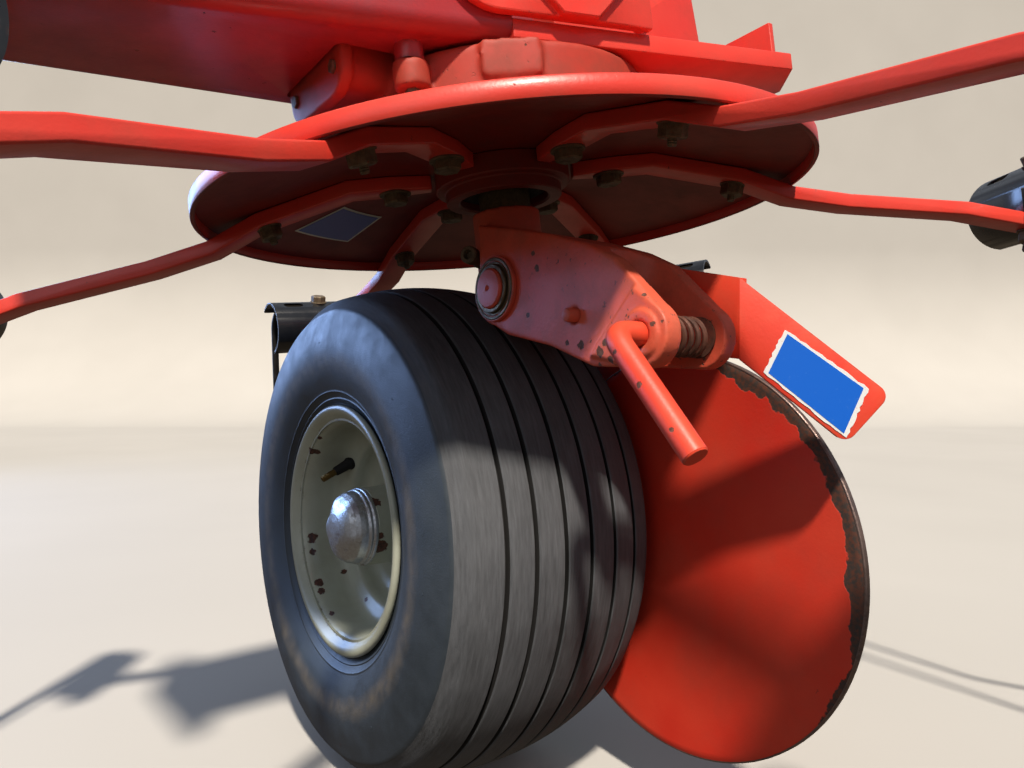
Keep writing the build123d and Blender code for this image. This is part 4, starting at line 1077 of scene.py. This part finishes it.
@dataclass
class Rotor:
    """Dish, hub, arms, bolts, spring tines and covers, all about the rotor's axis."""

    finishes: Finishes
    arms: int = 6
    first_arm: float = -33.85
    inner_bolt_r: float = 93.0
    outer_bolt_r: float = 202.5
    outer_tilt: float = atan2(20.0, 76.0)
    wire_r: float = 4.5
    coil_r: float = 23.5
    coil_at: Point = (494.0, -49.0)
    coil_from: float = 15.25
    coil_to: float = 58.25
    turns: float = 3.5
    knee: Point = (582.0, -320.0)
    knee_r: float = 42.0
    tips: tuple[Point, Point] = ((668.0, -436.0), (652.0, -416.0))
    sticker_r: Point = (152.0, 206.0)
    sticker_turn: Point = (105.0, 127.0)
    inner_bolt: Bolt = Bolt(19.0, 7.6, 13.5)
    outer_nut: Bolt = Bolt(17.0, 9.0, 11.0, 3.4)
    dish_head: Bolt = Bolt(19.0, 7.5, 12.0)
    clamp_head: Bolt = Bolt(17.0, 8.0, 11.0)
    clamp_nut: Bolt = Bolt(17.0, 9.0, 11.0, 5.0)

    def arm_angles(self) -> list[float]:
        """The arms' angles from the beam's line, in radians."""
        return [radians(self.first_arm + 360 / self.arms * i) for i in range(self.arms)]

    def spoke(self, turn: float) -> Matrix:
        """Axes of one arm: local X outward, Y beside it, Z up the rotor's axis."""
        return HEAD @ turned(turn)

    def build_dish(self) -> None:
        """Turns the dish with its rolled rim, and dresses its underside in the darker red that paints its
        shade.
        """
        profile = [
            (44.3, 20.3), (131.5, 20.3), (206.3, 1.3), (250.4, -8.6), (250.4, -17.4), (251.0, -18.0),
            (253.4, -18.0), (254.0, -17.4), (254.0, -6.4), (252.8, -5.2), (206.9, 4.9), (132.0, 23.9),
            (44.3, 23.9),
        ]
        stock = Stock()
        stock.lathe(profile, 160)
        dish = finish_mesh("rotor_dish_shell", stock.verts, stock.faces, HEAD, 50.0)
        dress(dish, self.finishes.red, self.finishes.sheltered)
        # faces that point down take the darker red, as painted shade on the underside
        down = HEAD.to_3x3() @ Vector((0, 0, -1))
        for face in dish.data.polygons:
            if face.normal.dot(down) > 0.5:
                face.material_index = 1
        settle(dish, Body.ROTOR, ["rotor_dish"])

    def build_hub(self) -> None:
        """Turns the rotor's hub with its rings and the greasy seal in its mouth."""
        profile = [
            (22.3, 28.4), (43.6, 28.4), (44.0, 27.8), (44.0, 20.0), (57.0, 20.0), (58.0, 19.0), (58.0, 4.4),
            (56.8, 3.2), (51.2, 2.6), (50.0, 1.4), (50.0, -6.0), (49.0, -7.0), (40.0, -7.0), (38.2, -5.4),
            (38.2, 8.0), (22.3, 8.0),
        ]
        stock = Stock()
        stock.lathe(profile, 72)
        # the hub wears the same darker red, painted shade under the dish
        stock.make("rotor_hub_shell", Body.ROTOR, Slot.CAST, self.finishes.sheltered, HEAD, ["rotor_hub"])
        seal = Stock()
        seal.lathe([(22.4, 2.0), (30.0, -2.5), (37.8, 0.5), (37.8, 7.5), (22.4, 7.5)], 60)
        seal.make("rotor_shaft_seal", Body.ROTOR, Slot.STEEL, self.finishes.groove, HEAD)

    def build_bolts(self) -> None:
        """Sets the inner and outer bolts under the arms, and their heads on the dish."""
        inner, outer, heads = Stock(), Stock(), Stock()
        for turn in self.arm_angles():
            spoke = self.spoke(turn)
            under = spoke @ shift(self.inner_bolt_r, 0, 8.0) @ FLIP
            self.inner_bolt.add_to(inner, under @ turned(turn * 3))
            low = spoke @ shift(self.outer_bolt_r, 0, -10.8) @ turned(self.outer_tilt, "Y") @ FLIP
            self.outer_nut.add_to(outer, low @ turned(turn * 5))
            self.dish_head.add_to(heads, spoke @ shift(self.inner_bolt_r, 0, 23.8))
            top = spoke @ shift(self.outer_bolt_r, 0, 6.2) @ turned(self.outer_tilt, "Y")
            self.dish_head.add_to(heads, top)
        inner.make("rotor_inner_bolts", Body.ROTOR, Slot.STEEL, self.finishes.bolt)
        outer.make("rotor_outer_nuts", Body.ROTOR, Slot.STEEL, self.finishes.bolt)
        heads.make("rotor_bolt_heads_on_dish", Body.ROTOR, Slot.STEEL, self.finishes.bolt)

    def tine_path(self) -> list[Vector]:
        """The wire's whole line in one arm's axes: tip, knee, coil, bridge and back out.

        Returns:
            The line's points.
        """
        middle_r, middle_s = self.coil_at
        inner = self.coil_from + self.wire_r
        outer = self.coil_to - self.wire_r
        steps = int(self.turns * 26)
        halves = []
        for side, tip in ((1, self.tips[0]), (-1, self.tips[1])):
            line = [Vector((middle_r - self.coil_r, side * 8.0, middle_s)),
                    Vector((middle_r - self.coil_r, side * (inner - 3.0), middle_s + 0.6))]
            for k in range(steps + 1):
                share = k / steps
                turn = pi - share * self.turns * tau
                beside = side * (inner + share * (outer - inner))
                line.append(Vector((middle_r + self.coil_r * cos(turn), beside,
                                    middle_s + self.coil_r * sin(turn))))
            bends = [(middle_r + self.coil_r, middle_s), self.knee, tip]
            leg = soften([(out, side * outer, up) for out, up in bends], self.knee_r, 8)
            halves.append(line + leg[1:])
        return list(reversed(halves[1])) + halves[0]

    def build_tines(self) -> None:
        """Bends each double tine from one wire."""
        path = self.tine_path()
        for number, turn in enumerate(self.arm_angles(), start=1):
            stock = Stock()
            stock.sweep(path, self.wire_r, 12)
            stock.make(f"tine_wire_{number}", Body.ROTOR, Slot.SPRING, self.finishes.spring, self.spoke(turn),
                       [f"tine_{number}"], 50.0)

    def build_covers(self) -> None:
        """Dresses the covers and adds the bolt through each one's clamp."""
        bolts = Stock()
        for number, turn in enumerate(self.arm_angles(), start=1):
            rounded_copy(f"tine_cover_{number}", Body.ROTOR, self.finishes.black, edge_mm=0.8)
            spoke = self.spoke(turn)
            self.clamp_head.add_to(bolts, spoke @ shift(482.5, 0, -16.6) @ turned(-0.34, "Y"))
            low = spoke @ shift(470.5, 0, -78.5) @ turned(atan2(28.5, 103), "Y") @ FLIP
            self.clamp_nut.add_to(bolts, low)
        bolts.make("tine_clamp_bolts", Body.ROTOR, Slot.STEEL, self.finishes.bolt)

    def build_sticker(self) -> None:
        """Lays the blank sticker with its pale border on the dish's underside."""
        low_r, high_r = self.sticker_r
        start, end = (radians(turn) for turn in self.sticker_turn)
        rows, columns = 6, 12
        # the dish sticker's darker film is partly painted shade
        for name, inset, lift, material in (
            ("dish_sticker_border", 0.0, 0.5, self.finishes.dull_white),
            ("dish_sticker_field", 2.6, 0.8, self.finishes.dark_blue),
        ):
            verts, faces = [], []
            for i in range(rows + 1):
                radius = low_r + inset + (high_r - low_r - 2 * inset) * i / rows
                # the height follows the dish's cone, which falls 19 over 74.8 from the radius 131.5
                height = 20.3 - (radius - 131.5) * 19.0 / 74.8 - lift
                for k in range(columns + 1):
                    angle = start + inset / radius + (end - start - 2 * inset / radius) * k / columns
                    verts.append((radius * cos(angle), radius * sin(angle), height))
            for i in range(rows):
                for k in range(columns):
                    a = i * (columns + 1) + k
                    faces.append((a, a + 1, a + columns + 2, a + columns + 1))
            stock = Stock()
            stock.take(verts, faces)
            stock.make(name, Body.ROTOR, Slot.RED, material, HEAD)

    def build(self) -> None:
        """Builds the rotor's pieces."""
        self.build_dish()
        self.build_hub()
        for number in range(1, self.arms + 1):
            rounded_copy(f"arm_{number}", Body.ROTOR, self.finishes.red, edge_mm=1.6, segments=3)
        self.build_bolts()
        self.build_tines()
        self.build_covers()
        self.build_sticker()


@dataclass
class FrameBeam:
    """Beam, flange, floor pan, hinge housing, side plate and gear case."""

    finishes: Finishes
    boss_ring: float = 138.0
    boss_angle: float = 28.0
    neck_bolt_x: float = -166.0
    hinge_bolt_at: tuple[float, float, float] = (121.0, -66.0, 147.0)
    hinge_bolt: Bolt = Bolt(13.0, 7.0)
    case_bolt: Bolt = Bolt(10.0, 4.0, thread_r=4.4)
    neck_bolt: Bolt = Bolt(9.0, 2.4)

    def build_bolts(self) -> None:
        """Sets the bolts of the gear case and of its neck's flange."""
        stock = Stock()
        for angle in (self.boss_angle, -self.boss_angle, 180 - self.boss_angle, 180 + self.boss_angle):
            ring = radians(angle)
            foot = shift(self.boss_ring * cos(ring), self.boss_ring * sin(ring), 46.0)
            # the angle serves once more, as a turn that differs from nut to nut
            self.case_bolt.add_to(stock, HEAD @ foot @ FLIP @ turned(angle))
        for y in (-34.0, 34.0):
            for height in (68.0, 126.0):
                self.neck_bolt.add_to(stock, HEAD @ shift(self.neck_bolt_x, y, height) @ turned(-pi / 2, "Y"))
        stock.make("gear_case_bolts", Body.FRAME, Slot.STEEL, self.finishes.bolt)

    def build_pan_bolt(self) -> None:
        """Adds the painted bolt in its round boss on the hinge housing's near side."""
        place = facing(HEAD @ (Vector(self.hinge_bolt_at) * MM), HEAD.to_3x3() @ Vector((0, -1, 0)))
        boss = Stock()
        boss.lathe([(0.0, -4.0), (11.5, -4.0), (11.5, 2.0), (10.5, 3.0), (0.0, 3.0)], 36, place, closed=False)
        self.hinge_bolt.add_to(boss, place @ shift(0, 0, 3))
        boss.make("hinge_housing_bolt", Body.FRAME, Slot.RED, self.finishes.red)

    def build(self) -> None:
        """Builds the frame's pieces."""
        red = self.finishes.red
        # the beam's finish carries painted shade and a painted sky reflection
        for node, finish, edge_mm, segments in (
            ("beam", self.finishes.beam, 1.8, 3), ("beam_flange", red, 1.5, 2), ("floor_pan", red, 1.6, 3),
            ("hinge_housing", red, 2.5, 3), ("side_plate", red, 1.5, 2),
        ):
            rounded_copy(node, Body.FRAME, finish, edge_mm, segments)
        # the gear case's darker paint is painted shade
        rounded_copy("gear_case", Body.FRAME, self.finishes.gear, voxel_mm=1.8, smooth=9)
        self.build_bolts()
        self.build_pan_bolt()


@dataclass
class Bracket:
    """The fork-ended casting under the rotor, with its pins, spring and grease bolt."""

    finishes: Finishes
    face_x: float = -36.0
    lock: Point = (-198.0, -135.0)
    rod_r: float = 8.0
    coil_r: float = 12.0
    coil_turns: float = 5.2
    coil_span: Point = (-21.6, 13.8)

    def at(self, x: float, y: float, z: float) -> Vector:
        """A point in metres, from its place from the hub point in level axes."""
        return HUB + Vector((x, y, z)) * MM

    def build_pivot(self) -> None:
        """Turns the pin's end with its ring groove, the washer and the snap ring."""
        place = facing(self.at(self.face_x, *PIVOT), OUTBOARD)
        pin = Stock()
        pin.lathe([(0.0, 7.0), (1.8, 9.2), (2.6, 9.8), (9.0, 9.8), (14.6, 9.4), (16.0, 8.0), (16.0, -181.5),
                   (0.0, -181.5)], 48, place, closed=False)
        pin.lathe([(15.0, -174.5), (24.0, -174.7), (25.0, -175.6), (25.0, -180.4), (24.0, -181.5),
                   (15.0, -181.5)], 48, place)
        pin.make("pivot_pin_end", Body.FRAME, Slot.STEEL, self.finishes.cast, replaces=["pivot_pin"])
        washer = Stock()
        washer.lathe([(21.0, 0.2), (26.0, 0.2), (26.4, 0.9), (26.2, 3.0), (25.4, 3.8), (21.0, 3.8)], 56,
                     place)
        washer.make("pivot_washer_edge", Body.FRAME, Slot.STEEL, self.finishes.cast)
        rings = Stock()
        rings.lathe([(16.4, 0.2), (24.6, 0.2), (24.8, 4.0), (24.0, 4.5), (22.6, 4.3), (21.9, 3.6),
                     (21.2, 4.3), (16.4, 4.3)], 56, place)
        rings.lathe([(16.2, 4.5), (18.8, 4.5), (19.6, 5.2), (19.6, 6.2), (18.8, 6.9), (16.2, 6.9)], 48, place)
        rings.make("pivot_washer_and_ring", Body.FRAME, Slot.STEEL, self.finishes.steel,
                   replaces=["pivot_washer"])

    def build_lock(self) -> None:
        """Bends the lock pin with its hanging handle, and winds its spring."""
        y, z = self.lock
        route = soften([(29.7, y, z), (-64.0, y, z), (-64.0, -262.0, -206.0)], 14.0, 8)
        rod = Stock()
        rod.sweep(route, self.rod_r, 24, LEVEL)
        end = facing(LEVEL @ (route[-1] * MM), route[-1] - route[-2])
        rod.lathe([(7.9, 0.0), (7.2, 1.0), (0.0, 1.4)], 24, end, closed=False)
        rod.make("lock_pin_rod", Body.FRAME, Slot.RED, self.finishes.worn_red, replaces=["lock_pin"])
        coil = Stock()
        start, stop = self.coil_span
        steps = 130
        line = []
        for k in range(steps + 1):
            share = k / steps
            turn = share * self.coil_turns * tau
            line.append((start + (stop - start) * share, y + self.coil_r * cos(turn),
                         z + self.coil_r * sin(turn)))
        coil.sweep(line, 1.9, 8, LEVEL)
        coil.make("lock_spring_coil", Body.FRAME, Slot.STEEL, self.finishes.rusty, replaces=["lock_spring"])
        washer = Stock()
        seat = facing(self.at(15.9, y, z), -OUTBOARD)
        washer.lathe([(8.4, 0.0), (14.0, 0.0), (14.0, 1.6), (8.4, 1.6)], 32, seat)
        washer.make("lock_spring_washer", Body.FRAME, Slot.STEEL, self.finishes.rusty)

    def build_small_pins(self) -> None:
        """Adds the hollow-ended grease bolt beside the round neck, and the stop pin's domed end."""
        place = facing(self.at(-19.0, 4.0, -60.0), Vector((-0.86, -0.42, 0.06)))
        bolt = Stock()
        bolt.lathe([(0.0, -12.0), (7.6, -12.0), (7.6, 6.0), (6.6, 6.6), (6.6, 18.0), (7.4, 18.6), (7.4, 25.0),
                    (6.4, 26.0), (4.2, 26.0), (3.6, 21.0), (0.0, 21.0)], 28, place, closed=False)
        bolt.make("grease_bolt", Body.FRAME, Slot.STEEL, self.finishes.bolt)
        pin = Stock()
        place = facing(self.at(self.face_x, -132.0, -118.0), OUTBOARD)
        pin.lathe([(5.0, -8.8), (5.0, 6.6), (4.2, 8.0), (2.4, 8.7), (0.0, 8.9)], 24, place, closed=False)
        pin.make("stop_pin_end", Body.FRAME, Slot.STEEL, self.finishes.cast, replaces=["stop_pin"])

    def build(self) -> None:
        """Builds the bracket's pieces."""
        rounded_copy("bracket", Body.FRAME, self.finishes.cast, voxel_mm=1.4, smooth=3)
        dress(FRAME["nodes"]["centre_shaft"], self.finishes.steel)
        self.build_pivot()
        self.build_lock()
        self.build_small_pins()


@dataclass
class LegAndGuard:
    """Leg, lever with its sticker, axle and guard disc."""

    finishes: Finishes
    guard_r: float = 171.0
    guard_thick: float = 5.0
    wave: float = 0.66
    fold_y: float = -209.0
    bend: float = 40.0
    lever_outer: float = 47.0
    sticker: tuple[Point, ...] = ((29.5, -129.5), (82.0, -169.5), (68.0, -202.0), (15.5, -158.0))
    border: float = 3.2
    weld_x: tuple[float, ...] = (46.6, 55.4, 121.8)
    weld_r: float = 31.2

    def build_guard(self) -> None:
        """Turns the guard disc, slightly dished, with a rolled and worn edge."""
        place = facing(Vector((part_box("guard_disc")[0].x, GUARD.y, GUARD.z)), OUTBOARD)
        edge, thick, roll = self.guard_r, self.guard_thick, 0.8
        rings, back_rings = 26, 8
        profile = [(edge * k / rings, 0.0) for k in range(rings)]
        profile += [(edge - roll, 0.0), (edge, -roll), (edge, roll - thick), (edge - roll, -thick)]
        profile += [(edge * k / back_rings, -thick) for k in reversed(range(back_rings))]
        plain = Stock()
        plain.lathe(profile, 128, closed=False)
        guard = finish_mesh("guard_disc_shell", plain.verts, plain.faces, HERE, 50.0)
        for vertex in guard.data.vertices:
            inside = 1 - min(1.0, (hypot(vertex.co.x, vertex.co.y) / (edge * MM)) ** 4)
            vertex.co.z -= abs(noise.noise(vertex.co * 9.0)) * inside * self.wave * MM
        guard.data.transform(place)
        dress(guard, self.finishes.guard)
        settle(guard, Body.LEG, ["guard_disc"])
        worn = Stock()
        worn.lathe([(edge - 1.2, 0.15), (edge - 0.4, 0.1), (edge + 0.2, -0.5), (edge + 0.2, -4.6),
                    (edge - 1.0, -4.9), (edge - 1.2, -4.0)], 128)
        worn.make("guard_disc_worn_edge", Body.LEG, Slot.STEEL, self.finishes.bright, place)

    def lever_place(self) -> Matrix:
        """Axes on the folded part of the lever: X away from the fold, Y up, Z out of its outer face.

        Returns:
            The matrix to the part's frame.
        """
        lean = radians(self.bend)
        away = Vector((sin(lean), -cos(lean), 0))
        out = Vector((-cos(lean), -sin(lean), 0))
        turn = Matrix((away, Vector((0, 0, 1)), out)).transposed().to_4x4()
        return LEVEL @ shift(self.lever_outer, self.fold_y, 0) @ turn

    def build_sticker(self) -> None:
        """Lays the blank blue sticker and its torn white border on the lever."""
        corners, tears = self.sticker, 16
        dice = Random(7)
        ragged = []
        for (x0, y0), (x1, y1) in zip(corners, corners[1:] + corners[:1]):
            run = hypot(x1 - x0, y1 - y0)
            for k in range(tears):
                share = k / tears
                tear = dice.uniform(-0.9, 0.5) if k else 0.0
                ragged.append((x0 + (x1 - x0) * share + (y1 - y0) / run * tear,
                               y0 + (y1 - y0) * share - (x1 - x0) / run * tear))
        place = self.lever_place()
        outer = Stock()
        outer.prism(ragged, 0.05, 0.45)
        outer.make("lever_sticker_border", Body.LEG, Slot.RED, self.finishes.white, place)
        centre = sum((Vector(c) for c in corners), Vector((0, 0))) / len(corners)
        spans = [Vector(c) - centre for c in corners]
        inner = Stock()
        inner.prism([centre + span * (1 - self.border / span.length) for span in spans], 0.3, 0.65)
        inner.make("lever_sticker_field", Body.LEG, Slot.RED, self.finishes.blue, place)

    def build_welds(self) -> None:
        """Runs weld beads round the leg's tube where the lever and plate meet it."""
        dice = Random(11)
        y, z = PIVOT
        bead, steps = Stock(), 72
        for x in self.weld_x:
            line = []
            for k in range(steps + 1):
                turn = tau * k / steps
                reach = self.weld_r + dice.uniform(-0.5, 0.5)
                line.append((x + dice.uniform(-0.3, 0.3), y + reach * cos(turn), z + reach * sin(turn)))
            bead.sweep(line, 2.4, 8, LEVEL)
        bead.make("leg_weld_beads", Body.LEG, Slot.RED, self.finishes.cast)

    def build(self) -> None:
        """Builds the leg's pieces."""
        rounded_copy("leg", Body.LEG, self.finishes.worn_red, edge_mm=1.6, segments=3)
        rounded_copy("lever", Body.LEG, self.finishes.worn_red, edge_mm=1.4, segments=3)
        dress(FRAME["nodes"]["axle"], self.finishes.steel)
        self.build_guard()
        self.build_sticker()
        self.build_welds()


@dataclass
class Studio:
    """Floor, soft light and the camera at the photograph's place. Lengths are in metres."""

    camera_at: tuple[float, float, float] = (0.0132, -0.5468, -0.2645)
    look: tuple[float, float, float] = (0.6029, 0.7978, 0.006)
    lens: float = 27.04
    floor_half: float = 9.0
    floor_rise: float = 5.0
    floor_bend: float = 2.0
    sun_power: float = 5.4
    sun_toward: tuple[float, float, float] = (0.52, 0.88, -1.30)
    sky: str = "e8f0ff"
    ground: str = "b09c84"
    room_power: float = 0.29

    def build_floor(self) -> None:
        """Lays the plain pale floor at the wheel's lowest point, curving up far behind."""
        half, bend, steps = self.floor_half, self.floor_bend, 12
        line = [(-half, 0.0), (half - bend, 0.0)]
        turns = [k * pi / 2 / steps for k in range(1, steps + 1)]
        line += [(half - bend + bend * sin(turn), bend - bend * cos(turn)) for turn in turns]
        line.append((half, self.floor_rise))
        verts = [(x, side, z) for x, z in line for side in (-half, half)]
        faces = [(2 * k, 2 * k + 1, 2 * k + 3, 2 * k + 2) for k in range(len(line) - 1)]
        under = Matrix.Translation((self.camera_at[0], self.camera_at[1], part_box("tyre")[0].z))
        floor = finish_mesh("studio_floor", verts, faces, under @ turned(atan2(self.look[1], self.look[0])))
        # matt paper: an even pale grey with faint clouds
        material, nodes = start_material("studio_paper")
        tone = nodes.clouds(900.0, 0.3, 0.7)
        nodes.feed(Base_Color=nodes.add("Mix", {0: tone, 6: "b7b5b0", 7: "bcbab5"}, 2, data_type="RGBA"),
                   Roughness=0.9)
        dress(floor, material)
        # the room's light from below is the world's own, so that the underside stays as deep as outdoors
        floor.visible_diffuse = False
        floor.visible_glossy = False

    def area(self, name: str, at: Vector, size: Point, power: float, colour: str,
             sheen_only: bool = False) -> None:
        """Adds one soft panel of light that faces the unit.

        Args:
            name: The light's name.
            at: Its place.
            size: Its width and height.
            power: Its power in watts.
            colour: Its sRGB hex colour.
            sheen_only: Whether it shows in reflections alone.
        """
        data = bpy.data.lights.new(name, "AREA")
        data.shape = "RECTANGLE"
        data.size, data.size_y = size
        data.energy = power
        data.color = linear(colour)[:3]
        lamp = bpy.data.objects.new(name, data)
        lamp.location = at
        lamp.rotation_euler = (HUB + Vector((0, 0, -0.2)) - at).to_track_quat("-Z", "Y").to_euler()
        lamp.visible_camera = False
        lamp.visible_diffuse = not sheen_only
        bpy.context.scene.collection.objects.link(lamp)

    def build_lights(self) -> None:
        """Sets a high soft sun behind the camera, a cool sky sheen behind the wheel and a dim room."""
        sun = bpy.data.lights.new("sun", "SUN")
        sun.energy = self.sun_power
        sun.angle = radians(3.5)
        sun.color = linear("fff3e4")[:3]
        lamp = bpy.data.objects.new("sun", sun)
        lamp.rotation_euler = Vector(self.sun_toward).to_track_quat("-Z", "Y").to_euler()
        bpy.context.scene.collection.objects.link(lamp)
        self.area("sky_sheen", Vector((-1.0, 2.9, 0.9)), (3.0, 1.8), 150.0, "9cc0ff", sheen_only=True)
        self.area("soft_front", Vector((-1.6, -1.0, 0.6)), (2.0, 1.6), 6.0, "f2f5ff")
        world = bpy.data.worlds.new("soft_room")
        bpy.context.scene.world = world
        world.use_nodes = True
        nodes = Nodes(world.node_tree, "Generated")
        height = nodes.add("SeparateXYZ", {0: nodes.place}, "Z")
        share = nodes.add("MapRange", {"Value": height, "From Min": -0.15, "From Max": 0.2})
        tone = nodes.add("Mix", {0: share, 6: self.ground, 7: self.sky}, 2, data_type="RGBA")
        nodes.feed(Color=tone, Strength=self.room_power)

    def build_camera(self) -> None:
        """Sets the camera where the photograph was taken."""
        data = bpy.data.cameras.new("camera")
        data.lens = self.lens
        data.sensor_width = 36.0
        data.clip_start = 0.01
        camera = bpy.data.objects.new("camera", data)
        camera.location = self.camera_at
        camera.rotation_euler = Vector(self.look).to_track_quat("-Z", "Y").to_euler()
        bpy.context.scene.collection.objects.link(camera)
        bpy.context.scene.camera = camera

    def build(self) -> None:
        """Builds the studio."""
        self.build_camera()
        self.build_floor()
        self.build_lights()
        bpy.context.scene.view_settings.view_transform = "Standard"


def main() -> None:
    """Builds the studio and every sub-assembly."""
    logging.basicConfig(level=logging.INFO, format="%(name)s %(message)s")
    Studio().build()
    finishes = Finishes()
    Wheel(finishes).build()
    Rotor(finishes).build()
    FrameBeam(finishes).build()
    Bracket(finishes).build()
    LegAndGuard(finishes).build()


if __name__ == "__main__":
    main()
